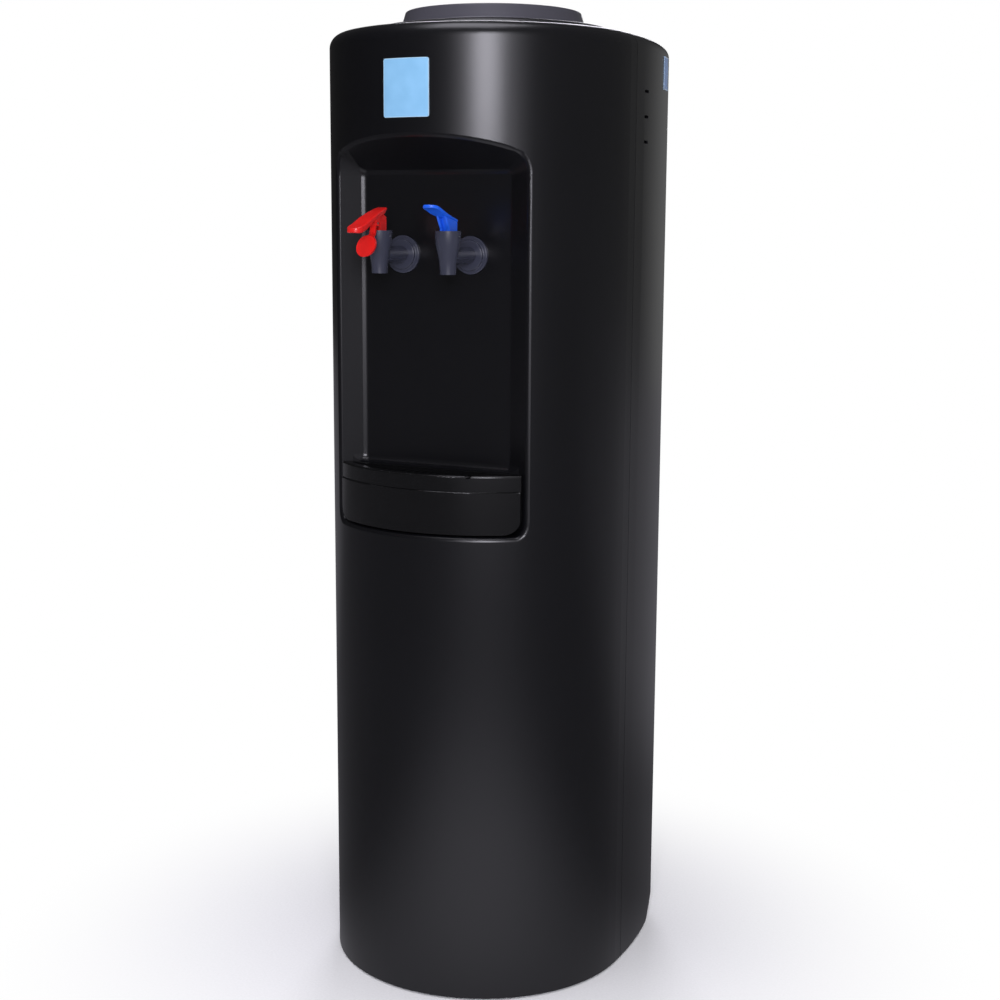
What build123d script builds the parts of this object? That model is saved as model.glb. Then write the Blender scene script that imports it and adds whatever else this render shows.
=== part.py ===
from build123d import *
import os
from math import cos, radians, sin, sqrt

os.makedirs("parts", exist_ok=True)

# Free-standing water cooler for a bottle on top. Millimetres, +Z up, the front faces -Y.
# The origin lies on the floor, under the centre of the half-round front.

# Fits between pieces
touch_gap = 0.3           # between curved faces that only stand beside each other
shaft_gap = 0.06          # radial, pin or rod in its bore
slip_gap = 0.5            # round a piece that lifts or slides out
thread_gap = 0.1          # radial, nut on its shank

# Casing
body_width = 317.5
body_top = 966.0
shell_bottom = 2.0
top_edge_radius = 14.0
wall = 3.0
seam_y = 15.0
seam_gap = 0.6
back_y = 164.0
back_taper = 23.75        # how far each side draws in towards the back
back_corner_radius = 20.0
lap_thickness = 2.2
lap_width = 12.0

# Alcove
panel_setback = 0.348     # panel behind the front's foremost line, as a share of the front's radius
panel_half_share = 0.5115 # panel's half width, as a share of it
panel_drop = 136.0        # panel's upper edge below the casing's top
alcove_half_share = 0.6709    # opening's half width, as a share of it
arch_drop = 104.0         # arch's apex below the casing's top
arch_lift = 27.0          # how far the arch's plane rises towards the sides, at the mouth plane
opening_bottom = 480.0
panel_corner_radius = 5.0
arch_corner_radius = 50.0 # at the mouth plane, in front of the casing
mouth_reach = 6.25        # plane in front of the casing that shapes the alcove
shelf_top = 541.0
shelf_depth = 7.5
panel_edge_radius = 6.0
opening_edge_radius = 4.5

# Bottle collar and spill guard
collar_y = 14.5
deck_hole_radius = 108.0
flange_radius = 123.0
flange_shoulder_radius = 116.0
flange_shoulder_rise = 7.5
ring_base_radius = 93.5
ring_base_rise = 10.6
ring_top_radius = 89.3
collar_rise = 24.35       # ring top above the casing
collar_wall = 3.4
ring_foot_round = 1.2
flange_bulge = 1.6        # the flange's outer curve, in from its edge
flange_bulge_rise = 0.72   # share of the shoulder's rise
collar_skirt_depth = 11.0
guard_rim_drop = 12.5     # guard rim below the ring top
guard_ledge = 5.0
guard_wall = 2.4
neck_radius = 30.0
neck_length = 52.0
cone_height = 45.0

# Tanks, shelves and insulation
tank_back_margin = 43.5   # cold tank's wall in front of the rear panel
cold_tank_height = 190.0
tank_wall = 1.2
tank_corner = 6.0
cold_insulation_thickness = 18.0
insulation_floor = 30.0
lid_thickness = 6.0
baffle_gap = 4.0
baffle_thickness = 3.0
baffle_height = 140.0
baffle_holes = 12
coil_tube_radius = 3.0
coil_pitch = 9.0
coil_turns = 9
coil_rise = 11.2          # lowest turn above the taps' stems
hot_tank_radius = 55.0
hot_tank_height = 140.0
hot_insulation_thickness = 20.0
hot_insulation_floor = 20.0
sheet = 1.5
cold_shelf_drop = 91.8    # cold shelf below the taps' stems
hot_shelf_drop = 208.0    # hot shelf below the cold shelf
gasket_width = 5.0
gasket_height = 4.0
feed_radius = 5.0
spigot_length = 6.0       # in front of the tank's foremost line
sleeve_radius = 6.0
sleeve_gap = 4.0          # between the sleeve's end and the tank's wall
heater_rise = 14.0
heater_height = 40.0
heater_thickness = 2.5
cutout_radius = 8.0
cutout_height = 5.0
cutout_rise = 96.0
cutout_angles = (60.0, 120.0)
hose_radius = 4.5
hose_rise_y = -14.0
hose_drop_run = 9.5       # from the shank's end to the hose's drop
hose_run_drop = 13.0      # hose's level run below the cold shelf's top
hose_bend = 7.0
tail_height = 6.0
shelf_hole_radius = 9.0
shelf_margin = 20.0       # shelf's side edge, in from the rear panel's
shelf_front_y = -70.0
shelf_lip = 14.0

# Taps
tap_spacing = 75.5
tap_drop = 80.2           # taps' stems below the panel's upper edge
tap_reach = 46.8          # barrel axis in front of the panel
tap_flange_radius = 18.5
tap_flange_thickness = 3.2
tap_boss_radius = 14.8
tap_boss_thickness = 6.4
tap_flange_round = 1.0
tap_stem_radius = 8.2
tap_shank_radius = 8.0
tap_shank_length = 15.0   # behind the panel's front face
tap_bore_radius = 4.0
barrel_top_rise = 23.5
barrel_bottom_drop = 17.4
barrel_top_radius = 12.5
barrel_shoulder_rise = 7.5   # where the wide upper bore begins
nozzle_radius = 7.8
nozzle_bore_radius = 5.6
barrel_bore_radius = 10.2
barrel_floor_rise = -4.0  # inside floor, from the stem's axis
barrel_bore_taper = 2.3
tap_nut_radius = 13.0
tap_nut_thickness = 7.0
tap_washer_thickness = 1.6
lever_pin_radius = 1.5
lever_pin_half = 11.2
lever_pin_rise = 18.5     # pin above the stem's axis
lever_neck_width = 10.4
lever_cheek = 2.2
lever_width = 16.0
lever_back_width = 11.4
lever_widens_at = -20.0   # where the blade reaches its full width, from the barrel's axis
plunger_radius = 2.2
plunger_cup_radius = 7.3
plunger_cup_height = 4.0
plunger_lift = 2.8
spring_radius = 4.2
spring_wire = 0.8
spring_height = 7.0
rod_guide = 1.6           # thickness of the web the rod slides in
cheek_drop = 5.0          # cheeks below the pin
tongue_width = 6.0
tongue_shift = 2.5        # tongue's strip, from the middle of its disc
tongue_disc_radius = 10.2
tongue_pin_radius = 1.2
tongue_pin_y = -14.5      # from the barrel's axis
tongue_pin_rise = 11.6    # from the lever's pin
tongue_eye = 1.3
cold_lever_round = 1.0
hot_lever_round = 1.4
ear_thickness = 1.5
ear_tip = 2.2             # ear's round end, in pin radii
disc_drop = 9.6           # disc's centre below the lever's pin

# Lever outlines across the tap: (behind the barrel's axis, above the lever's pin)
cold_nose = -39.8
cold_top = ((8.5, 16.0), (-10.0, 20.4), (-21.4, 24.0), (-30.0, 27.2), (-35.0, 28.6), (-39.0, 29.1), (-44.0, 28.9))
cold_under = ((8.5, 13.2), (-13.7, 18.8), (-21.4, 21.0), (-30.0, 24.0), (-35.0, 25.4), (-39.0, 26.1), (-44.0, 26.2))
cold_cheek = ((-6.6, -5.0), (-6.6, 7.4), (-14.6, 20.0), (8.5, 14.6), (8.5, 0.0), (7.3, -5.0))
cold_web = ((-2.6, 4.0), (-8.6, 19.4), (-6.4, 18.8), (-0.6, 4.0))
hot_nose = -51.0
hot_top = ((4.8, 26.8), (-10.0, 22.6), (-20.0, 19.0), (-30.0, 14.9), (-36.0, 12.2), (-44.0, 9.2), (-51.0, 6.6), (-56.0, 4.8))
hot_under_back = ((4.8, 25.2), (-2.0, 19.2), (-16.0, 15.2))
hot_under_nose = ((-16.0, 15.2), (-30.0, 8.4), (-38.0, 4.6), (-44.0, 2.8), (-51.0, 3.0), (-56.0, 4.0))
hot_cheek = ((-6.6, -5.0), (-6.6, 7.4), (-8.8, 18.0), (-2.0, 21.0), (4.6, 17.4), (4.6, -5.0))
hot_web = ((-2.4, 4.0), (-4.4, 19.0), (-2.2, 19.8), (-0.4, 4.0))
hot_ear_top = ((-18.2, 16.6), (-10.6, 18.4))
tongue_front = ((-17.4, 2.4), (-21.4, -0.2), (-30.2, -20.6))
tongue_back = ((-27.8, -21.6), (-19.6, -2.0), (-15.6, 0.8))
tongue_stem = 1.2         # half the stem's thickness beside its eye
plunger_slack = 1.0       # rod's end below the lever, when lifted
cup_bore_gap = 0.3

# Drip tray and grille
tray_clearance = 1.6
tray_front_inset = 0.6
band_front_inset = 1.8
rim_top = 540.0
band_bottom = 524.5
tray_wall = 2.2
tray_floor_gap = 2.0
tray_corner_radius = 14.0
tray_end_gap = 5.0        # between the tray's end and the opening's edge
grille_plate = 3.0
grille_recess = 2.6
grille_slot_width = 3.2
grille_slot_pitch = 8.0
grille_rim = 7.0
band_wall = 2.5
rim_edge_radius = 1.8
tray_edge_radius = 1.0
notch_x = 57.0            # finger notch in the rim
notch_radius = 3.0

# Badge and side label
badge_width = 49.0
badge_height = 54.0
badge_drop = 87.5         # badge's lower edge below the casing's top
badge_x = -3.0
badge_thickness = 1.2
badge_corner_radius = 2.0
sticker_gap = 0.1         # film of glue behind the badge and the label
side_label_drop = 48.0
side_label_height = 33.5
side_label_front = 112.0
side_label_length = 26.0
side_label_thickness = 0.4

# Vents in the sides
vent_drops = (104.5, 79.7, 54.9)
vent_y = 44.0
vent_length = 12.0
vent_width = 3.0

# Back
window_margin = 29.0
window_bottom = 52.0
window_drop = 98.0        # window's upper edge below the casing's top
window_corner_radius = 12.0
heel_rise = 26.0
heel_start_y = 112.0
rear_panel_y = 134.0
rear_panel_bottom = 236.0
rear_panel_margin = 20.75 # panel's side edge, in from the casing's side
rib_reach = 8.0           # rib inside the rear panel's edge

# Base
pan_bottom = 10.0
pan_height = 16.0
pan_back_y = 120.0
pan_back_margin = 16.25
foot_radius = 13.0
foot_front_y = -70.0
foot_front_margin = 54.75
foot_back_y = 92.0
foot_back_margin = 46.75
pan_sheet = 2.0
foot_bevel = 2.0
foot_hole_radius = 4.0

# Compressor
compressor_y = 55.0
compressor_radius = 60.0
compressor_height = 132.0
compressor_dome = 26.0
compressor_wall = 10.0
compressor_foot = 3.0
compressor_foot_x = 66.0
compressor_foot_y = 46.0
grommet_radius = 9.0
grommet_height = 9.0
bolt_radius = 3.0
bolt_head_radius = 6.0
bolt_head_height = 4.0
bolt_tip = 1.5            # bolt's end below the pan
stub_radius = 4.2
stub_height = 22.0
stub_x = 30.0
stub_y = 84.0
weld_lip = 2.0            # rolled rim where the two shell halves are welded
weld_height = 5.0
terminal_reach = 6.0
terminal_rise = 56.0
terminal_size = 28.0
relay_length = 26.0
relay_width = 42.0
relay_height = 50.0
foot_margin = 12.0
compressor_heel = 8.0
grommet_groove = 2.0

# Refrigeration tubes
line_radius = 3.2
line_bend = 12.0
suction_x = 30.0
suction_rise = 20.2       # tube leaves the coil this far above the taps' stems
suction_run_y = 121.0
capillary_x = -40.0
condenser_y = 150.0
condenser_tube_radius = 2.5
condenser_runs = 14
condenser_drop = 22.0     # top run below the window's upper edge
condenser_bottom = 300.0
condenser_margin = 14.0   # bends, in from the window's edge
discharge_side = 16.0     # riser beside the condenser's bends
wire_radius = 0.9
wire_pitch = 7.5
wire_overhang = 8.0
wire_gap = 0.1
bracket_margin = 8.0      # brackets, in from the bends
bracket_thickness = 2.0
bracket_foot = 12.0
tube_end = 1.0            # how far a tapered end stands round its tube
drier_radius = 9.0
drier_length = 78.0
drier_drop = 22.0
capillary_radius = 1.3

# Electrical pieces at the back
switch_x = -58.0
switch_drop = 51.0
switch_plate_width = 78.0
switch_plate_height = 34.0
switch_plate_thickness = 2.0
switch_box_depth = 16.0
rocker_width = 19.0
rocker_spacing = 34.0
rocker_gap = 0.6
rocker_depth = 4.0        # axle behind the back wall's face
rocker_radius = 11.3
rocker_window = 22.0
rocker_out_high = 8.2     # pressed-out end in front of the axle
rocker_out_low = 4.9      # pressed-in end
rocker_shoulder = 2.0
rocker_hollow = 3.0
rocker_dish = 0.9
axle_radius = 1.5
axle_length = 2.0
service_z = 258.0         # height of the drain, the gland and the thermostat at the back
gland_x = -62.0
gland_radius = 9.0
gland_nut_radius = 12.0
gland_bore_radius = 4.2
gland_thread = 7.0
gland_flange = 4.0
gland_body_end = 11.0     # from the panel's outside
gland_nose_end = 15.0
gland_nose_wall = 1.5
thermostat_margin = 14.0
thermostat_size = 34.0
thermostat_depth = 20.0
thermostat_shaft_radius = 3.0
knob_radius = 14.0
knob_height = 13.0
knob_gap = 1.0            # between the panel and the knob
knob_flutes = 12
pointer_width = 3.0
pointer_height = 1.2

# Drain
drain_hose_radius = 6.0
drain_bore_radius = 4.2
drain_bend = 28.0
drain_thread_radius = 9.0
drain_flange_radius = 14.0
drain_fitting_length = 16.0
drain_cap_radius = 12.0
drain_cap_ribs = 16
drain_cap_groove = 0.8
drain_cap_end = 2.0       # thickness of the cap's end

# Screws of the back panel
screw_radius = 2.0
screw_head_radius = 4.0
screw_head_height = 2.4
screw_margin = 4.5
screw_rows = 4
screw_first = 300.0
screw_drop = 28.0         # top screw below the window's upper edge

# ---------------------------------------------------------------- worked out from the sizes above
front_radius = body_width / 2
back_half_width = front_radius - back_taper
panel_y = (panel_setback - 1) * front_radius
panel_half_width = panel_half_share * front_radius
panel_top = body_top - panel_drop
alcove_half_width = alcove_half_share * front_radius
arch_apex = body_top - arch_drop
mouth_y = -front_radius - mouth_reach
tap_height = panel_top - tap_drop
tray_edge_x = alcove_half_width - tray_end_gap
cold_tank_radius = rear_panel_y - collar_y - tank_back_margin
cold_insulation_radius = cold_tank_radius + cold_insulation_thickness
baffle_radius = cold_tank_radius - baffle_gap
hot_insulation_radius = hot_tank_radius + hot_insulation_thickness
cold_shelf_top = tap_height - cold_shelf_drop
hot_shelf_top = cold_shelf_top - hot_shelf_drop
hose_run_z = cold_shelf_top - hose_run_drop
coil_bottom = tap_height + coil_rise
spigot_reach = cold_tank_radius + spigot_length
badge_bottom = body_top - badge_drop
side_label_bottom = body_top - side_label_drop
vent_heights = [body_top - drop for drop in vent_drops]
window_half_width = back_half_width - window_margin
window_top = body_top - window_drop
rear_panel_half_width = front_radius - rear_panel_margin
shelf_half_width = rear_panel_half_width - shelf_margin
pan_back_half_width = front_radius - pan_back_margin
foot_places = [(side * (front_radius - margin), y) for side in (-1, 1)
               for margin, y in ((foot_front_margin, foot_front_y), (foot_back_margin, foot_back_y))]
suction_z = tap_height + suction_rise
condenser_top = window_top - condenser_drop
condenser_pitch = (condenser_top - condenser_bottom) / (condenser_runs - 1)
condenser_half_width = window_half_width - condenser_margin
bracket_x = condenser_half_width - bracket_margin
drier_x = -window_half_width
switch_z = body_top - switch_drop
thermostat_x = window_half_width - thermostat_margin
screw_x = rear_panel_half_width - screw_margin
screw_step = (window_top - screw_drop - screw_first) / (screw_rows - 1)
screw_heights = [screw_first + row * screw_step for row in range(screw_rows)]
deck_top = body_top
ring_top = body_top + collar_rise
panel_back = panel_y + wall
alcove_edge_y = -sqrt(front_radius**2 - alcove_half_width**2)
alcove_flare = (alcove_half_width - panel_half_width) / (panel_y - alcove_edge_y)
alcove_rise = (arch_apex - panel_top) / (panel_y + front_radius)
barrel_y = panel_y - tap_reach
tap_places = {"cold": tap_spacing / 2, "hot": -tap_spacing / 2}
cold_tank_bottom = cold_shelf_top + insulation_floor
cold_tank_top = cold_tank_bottom + cold_tank_height
hot_tank_bottom = hot_shelf_top + hot_insulation_floor
hot_tank_top = hot_tank_bottom + hot_tank_height


def front_plan(inset=0.0, back=seam_y):
    """Half-round front with short straight sides, as seen from above."""
    radius = front_radius - inset
    with BuildSketch() as plan:
        with BuildLine():
            ThreePointArc((-radius, 0), (0, -radius), (radius, 0))
            Polyline((radius, 0), (radius, back), (-radius, back), (-radius, 0))
        make_face()
    return plan.sketch


def rear_plan(inset=0.0, front=seam_y + seam_gap):
    """Sides that draw in towards the back, with rounded back corners, as seen from above."""
    arc_end_x = back_half_width - inset
    arc_end_y = back_y - inset
    with BuildSketch() as plan:
        with BuildLine():
            right = TangentArc((front_radius - inset, front), (arc_end_x, arc_end_y), tangent=(0, 1))
            Line(right @ 1, (-arc_end_x, arc_end_y))
            left = TangentArc((-front_radius + inset, front), (-arc_end_x, arc_end_y), tangent=(0, 1))
            Line(left @ 0, right @ 0)
        make_face()
        corners = plan.vertices().filter_by_position(Axis.Y, arc_end_y - 0.01, arc_end_y + 0.01)
        fillet(corners, back_corner_radius - inset)
    return plan.sketch


def filled_can(radius, bottom, height, corner):
    """Solid can on the tanks' axis, with rounded rims."""
    with BuildPart() as can:
        with BuildSketch(Plane.XY.offset(bottom)):
            with Locations((0, collar_y)):
                Circle(radius)
        extrude(amount=height)
        fillet(can.edges().filter_by(GeomType.CIRCLE), corner)
    return can.part


def alcove(grow):
    """The alcove's hollow, or with grow the same form one wall larger."""
    back_y_plane = panel_y + grow
    side_shift = grow * sqrt(1 + alcove_flare**2)
    top_shift = grow * sqrt(1 + alcove_rise**2)
    back_half = panel_half_width - alcove_flare * grow + side_shift
    back_top = panel_top - alcove_rise * grow + top_shift
    mouth_half = panel_half_width + alcove_flare * (panel_y - mouth_y) + side_shift
    mouth_top = panel_top + alcove_rise * (panel_y - mouth_y) + top_shift
    floor = opening_bottom - grow
    with BuildPart() as hollow:
        with BuildSketch(Plane.XZ.offset(-back_y_plane)):
            with BuildLine():
                Polyline((-back_half, back_top), (-back_half, floor), (back_half, floor), (back_half, back_top))
                Line((back_half, back_top), (-back_half, back_top))
            make_face()
            fillet(vertices(), panel_corner_radius)
        with BuildSketch(Plane.XZ.offset(-mouth_y)):
            with BuildLine():
                corner = mouth_top + arch_lift
                Polyline((-mouth_half, corner), (-mouth_half, floor), (mouth_half, floor), (mouth_half, corner))
                ThreePointArc((mouth_half, corner), (0, mouth_top), (-mouth_half, corner))
            make_face()
            fillet(vertices(), arch_corner_radius)
        loft()
        with BuildSketch(Plane.XY.offset(floor - wall)):
            with Locations((0, panel_y - shelf_depth + grow)):
                Rectangle(2 * body_width, body_width, align=(Align.CENTER, Align.MIN))
        extrude(amount=shelf_top - grow - floor + wall, mode=Mode.SUBTRACT)
        rim = hollow.edges().filter_by_position(Axis.Y, back_y_plane - 0.01, back_y_plane + 0.01)
        foot = hollow.edges().filter_by_position(Axis.Z, shelf_top - grow - 0.01, shelf_top - grow + 0.01)
        foot = foot.filter_by(lambda edge: edge.center().Y > panel_y - shelf_depth + grow + 0.1)
        fillet(rim + foot.filter_by(lambda edge: abs(edge.center().X) > 1), panel_edge_radius)
    return hollow.part


# ---------------------------------------------------------------- casing

# Front shell: half-round moulding with the arched alcove, a soft top edge and half of the top deck
with BuildPart() as front_space:
    with BuildSketch(Plane.XY.offset(shell_bottom - wall)):
        add(front_plan(wall, seam_y + wall))
    extrude(amount=body_top - shell_bottom)
    top_rim = front_space.faces().sort_by(Axis.Z)[-1].edges()
    fillet(top_rim.filter_by(lambda edge: edge.center().Y < seam_y), top_edge_radius - wall)
    add(alcove(wall), mode=Mode.SUBTRACT)

with BuildPart() as front_shell:
    with BuildSketch(Plane.XY.offset(shell_bottom)):
        add(front_plan())
    extrude(amount=body_top - shell_bottom)
    top_rim = front_shell.faces().sort_by(Axis.Z)[-1].edges()
    fillet(top_rim.filter_by(lambda edge: edge.center().Y < seam_y - 0.1), top_edge_radius)
    add(alcove(0.0), mode=Mode.SUBTRACT)
    round_face = front_shell.faces().filter_by(GeomType.CYLINDER).sort_by(SortBy.AREA)[-1]
    fillet(round_face.inner_wires()[0].edges(), opening_edge_radius)
    add(front_space.part, mode=Mode.SUBTRACT)
    with BuildSketch(Plane.XY.offset(body_top - 2 * wall)):
        with Locations((0, collar_y)):
            Circle(deck_hole_radius)
    extrude(amount=3 * wall, mode=Mode.SUBTRACT)
    with BuildSketch(Plane.XZ.offset(-panel_back - wall)):
        with Locations(*[(x, tap_height) for x in tap_places.values()]):
            Circle(tap_shank_radius + touch_gap)
    extrude(amount=3 * wall, mode=Mode.SUBTRACT)
front_shell.part.label = "front_shell"
export_step(front_shell.part, "parts/front_shell.step")

# Rear shell: sides and back in one moulding, with the back window, the vents and the raised heel
rib_front = rear_panel_y + sheet
with BuildPart() as rear_space:
    with BuildSketch(Plane.XY.offset(shell_bottom - wall)):
        add(rear_plan(wall, seam_y))
    extrude(amount=body_top - shell_bottom)
    top_rim = rear_space.faces().sort_by(Axis.Z)[-1].edges()
    fillet(top_rim.filter_by(lambda edge: edge.center().Y > seam_y + 0.1), top_edge_radius - wall)
    for side in (-1, 1):
        with BuildSketch(Plane.XY.offset(rear_panel_bottom)):
            with Locations((side * body_width / 2, rib_front)):
                Rectangle(body_width - 2 * rear_panel_half_width + 2 * rib_reach, wall,
                          align=(Align.CENTER, Align.MIN))
        extrude(amount=window_top - rear_panel_bottom, mode=Mode.SUBTRACT)

with BuildPart() as rear_shell:
    with BuildSketch(Plane.XY.offset(shell_bottom)):
        add(rear_plan())
    extrude(amount=body_top - shell_bottom)
    top_rim = rear_shell.faces().sort_by(Axis.Z)[-1].edges()
    fillet(top_rim.filter_by(lambda edge: edge.center().Y > seam_y + seam_gap + 0.1), top_edge_radius)
    add(rear_space.part, mode=Mode.SUBTRACT)
    # window for the condenser and the compressor bay
    with BuildSketch(Plane.XZ.offset(-back_y)):
        with Locations((0, (window_bottom + window_top) / 2)):
            RectangleRounded(2 * window_half_width, window_top - window_bottom, window_corner_radius)
    extrude(amount=2 * wall, both=True, mode=Mode.SUBTRACT)
    # deck hole for the bottle collar
    with BuildSketch(Plane.XY.offset(body_top - 2 * wall)):
        with Locations((0, collar_y)):
            Circle(deck_hole_radius)
    extrude(amount=3 * wall, mode=Mode.SUBTRACT)
    # vents near the top of both sides
    with BuildSketch(Plane.YZ):
        with Locations(*[(vent_y, height) for height in vent_heights]):
            SlotOverall(vent_length, vent_width)
    extrude(amount=body_width, both=True, mode=Mode.SUBTRACT)
    # pocket for the switch box
    with BuildSketch(Plane.XZ.offset(-back_y)):
        with Locations((switch_x, switch_z)):
            Rectangle(switch_plate_width - 4 * wall + 2 * touch_gap,
                      switch_plate_height - 2 * wall + 2 * touch_gap)
    extrude(amount=2 * wall, both=True, mode=Mode.SUBTRACT)
    # holes for the panel's screws in both ribs
    with BuildSketch(Plane.XZ.offset(-rib_front)):
        for side in (-1, 1):
            with Locations(*[(side * screw_x, height) for height in screw_heights]):
                Circle(screw_radius + touch_gap)
    extrude(amount=-wall, mode=Mode.SUBTRACT)
    # raised heel at the back
    with BuildSketch(Plane.YZ):
        with BuildLine():
            Polyline((heel_start_y, shell_bottom), (back_y, heel_rise), (back_y + heel_rise, heel_rise),
                     (back_y + heel_rise, -heel_rise), (heel_start_y, -heel_rise), close=True)
        make_face()
    extrude(amount=body_width, both=True, mode=Mode.SUBTRACT)
    # lap strips that reach in behind the front shell and close the seam
    lap_face = front_radius - wall - touch_gap
    for side in (-1, 1):
        with BuildSketch(Plane.XY.offset(shell_bottom + wall)):
            with BuildLine():
                Polyline((side * lap_face, seam_y - lap_width), (side * lap_face, seam_y + seam_gap),
                         (side * (front_radius - wall / 2), seam_y + seam_gap),
                         (side * (front_radius - wall / 2), seam_y + lap_width),
                         (side * (lap_face - lap_thickness), seam_y + lap_width),
                         (side * (lap_face - lap_thickness), seam_y - lap_width), close=True)
            make_face()
        extrude(amount=body_top - shell_bottom - 2 * top_edge_radius)
rear_shell.part.label = "rear_shell"
export_step(rear_shell.part, "parts/rear_shell.step")

# Base pan: pressed steel floor with a turned-up edge
with BuildPart() as base_pan:
    with BuildSketch(Plane.XY.offset(pan_bottom)) as pan_outline:
        add(front_plan(wall + touch_gap, seam_y))
        with BuildLine():
            half = front_radius - wall - touch_gap - lap_thickness - touch_gap
            Polyline((half, seam_y - lap_width - 2), (half, seam_y + lap_width), (pan_back_half_width, pan_back_y),
                     (-pan_back_half_width, pan_back_y), (-half, seam_y + lap_width), (-half, seam_y - lap_width - 2),
                     close=True)
        make_face()
        # relief for the rear shell's lap strips
        for side in (-1, 1):
            with Locations((side * (half + 2 * wall), seam_y)):
                Rectangle(4 * wall, 2 * lap_width + 2, mode=Mode.SUBTRACT)
    extrude(amount=pan_height)
    with BuildSketch(Plane.XY.offset(pan_bottom + pan_sheet)):
        offset(pan_outline.sketch, amount=-pan_sheet, kind=Kind.INTERSECTION)
    extrude(amount=pan_height, mode=Mode.SUBTRACT)
    with BuildSketch(Plane.XY.offset(pan_bottom)):
        with Locations(*foot_places):
            Circle(foot_hole_radius)
        with Locations((0, compressor_y)):
            with GridLocations(2 * compressor_foot_x, 2 * compressor_foot_y, 2, 2):
                Circle(bolt_radius + touch_gap)
    extrude(amount=pan_sheet, mode=Mode.SUBTRACT)
base_pan.part.label = "base_pan"
export_step(base_pan.part, "parts/base_pan.step")

# Feet: four rubber buttons, pushed into the pan from below
with BuildPart() as feet:
    with BuildSketch(Plane.XZ):
        with BuildLine():
            Polyline((0, 0), (foot_radius - foot_bevel, 0), (foot_radius, foot_bevel), (foot_radius, pan_bottom),
                     (foot_hole_radius - shaft_gap, pan_bottom),
                     (foot_hole_radius - shaft_gap, pan_bottom + pan_sheet + foot_bevel),
                     (0, pan_bottom + pan_sheet + foot_bevel), close=True)
        make_face()
    foot = revolve(axis=Axis.Z, mode=Mode.PRIVATE)
    with Locations(*foot_places):
        add(foot)
feet.part.label = "feet"
export_step(feet.part, "parts/feet.step")

# Rear panel: sheet steel behind the tanks, with side returns that point forwards
with BuildPart() as rear_panel:
    with BuildSketch(Plane.XY.offset(rear_panel_bottom)):
        with Locations((0, rear_panel_y)):
            Rectangle(2 * rear_panel_half_width, sheet, align=(Align.CENTER, Align.MIN))
        for side in (-1, 1):
            with Locations((side * (rear_panel_half_width - sheet / 2), rear_panel_y)):
                Rectangle(sheet, shelf_lip, align=(Align.CENTER, Align.MAX))
    extrude(amount=window_top - rear_panel_bottom)
    with BuildSketch(Plane.XZ.offset(-rear_panel_y - 2 * sheet)):
        with Locations((0, service_z)):
            Circle(drain_thread_radius + touch_gap)
        with Locations((gland_x, service_z)):
            Circle(gland_thread + touch_gap)
        with Locations((thermostat_x, service_z)):
            Circle(thermostat_shaft_radius + knob_gap)
        with Locations((drier_x, condenser_top - drier_drop - drier_length - 3 * line_bend)):
            Circle(capillary_radius + tube_end)
        for side in (-1, 1):
            with Locations(*[(side * screw_x, height) for height in screw_heights]):
                Circle(screw_radius + touch_gap)
    extrude(amount=4 * sheet, mode=Mode.SUBTRACT)
rear_panel.part.label = "rear_panel"
export_step(rear_panel.part, "parts/rear_panel.step")

# ---------------------------------------------------------------- bottle seat on top

# Bottle collar: domed flange on the deck, raised ring for the bottle's shoulder, skirt in the deck hole
tank_axis = Axis((0, collar_y, 0), (0, 0, 1))
tank_section = Plane.XZ.offset(-collar_y)
ledge_z = ring_top - guard_rim_drop - guard_wall
collar_bore = ring_top_radius - collar_wall
with BuildPart() as bottle_collar:
    with BuildSketch(tank_section):
        with BuildLine():
            skirt_outer = deck_hole_radius - slip_gap
            skirt_inner = skirt_outer - collar_wall + 1
            shoulder_z = deck_top + flange_shoulder_rise
            under_z = ledge_z - guard_wall
            Line((skirt_outer, deck_top), (flange_radius, deck_top))
            ThreePointArc((flange_radius, deck_top),
                          (flange_radius - flange_bulge, deck_top + flange_bulge_rise * flange_shoulder_rise),
                          (flange_shoulder_radius, shoulder_z))
            Polyline((flange_shoulder_radius, shoulder_z), (ring_base_radius, deck_top + ring_base_rise),
                     (ring_top_radius, ring_top), (collar_bore, ring_top), (collar_bore, ledge_z),
                     (collar_bore - guard_ledge, ledge_z), (collar_bore - guard_ledge, under_z),
                     (ring_base_radius, under_z), (skirt_inner, deck_top + collar_wall),
                     (skirt_inner, deck_top - collar_skirt_depth), (skirt_outer, deck_top - collar_skirt_depth),
                     (skirt_outer, deck_top))
        make_face()
        ring_corners = vertices().filter_by_position(Axis.Y, ring_top - 0.01, ring_top + 0.01)
        fillet(ring_corners, collar_wall / 2 - 0.05)
        fillet(vertices().filter_by(lambda point: abs(point.X - ring_base_radius) < 0.01
                                    and point.Y > ledge_z), ring_foot_round)
    revolve(axis=tank_axis)
bottle_collar.part.label = "bottle_collar"
export_step(bottle_collar.part, "parts/bottle_collar.step")

# Spill guard: funnel that hangs in the collar and holds the bottle's neck in its sleeve
neck_top = ledge_z - cone_height
neck_bottom = neck_top - neck_length
cone_radius = collar_bore - guard_ledge - slip_gap - guard_wall
with BuildPart() as spill_guard:
    with BuildSketch(tank_section):
        with BuildLine():
            Polyline((collar_bore - slip_gap, ledge_z), (collar_bore - slip_gap, ledge_z + guard_wall),
                     (cone_radius, ledge_z + guard_wall), (neck_radius, neck_top), (neck_radius, neck_bottom),
                     (neck_radius + guard_wall, neck_bottom), (neck_radius + guard_wall, neck_top),
                     (cone_radius + guard_wall, ledge_z), close=True)
        make_face()
    revolve(axis=tank_axis)
spill_guard.part.label = "spill_guard"
export_step(spill_guard.part, "parts/spill_guard.step")

# ---------------------------------------------------------------- cold side

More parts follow.
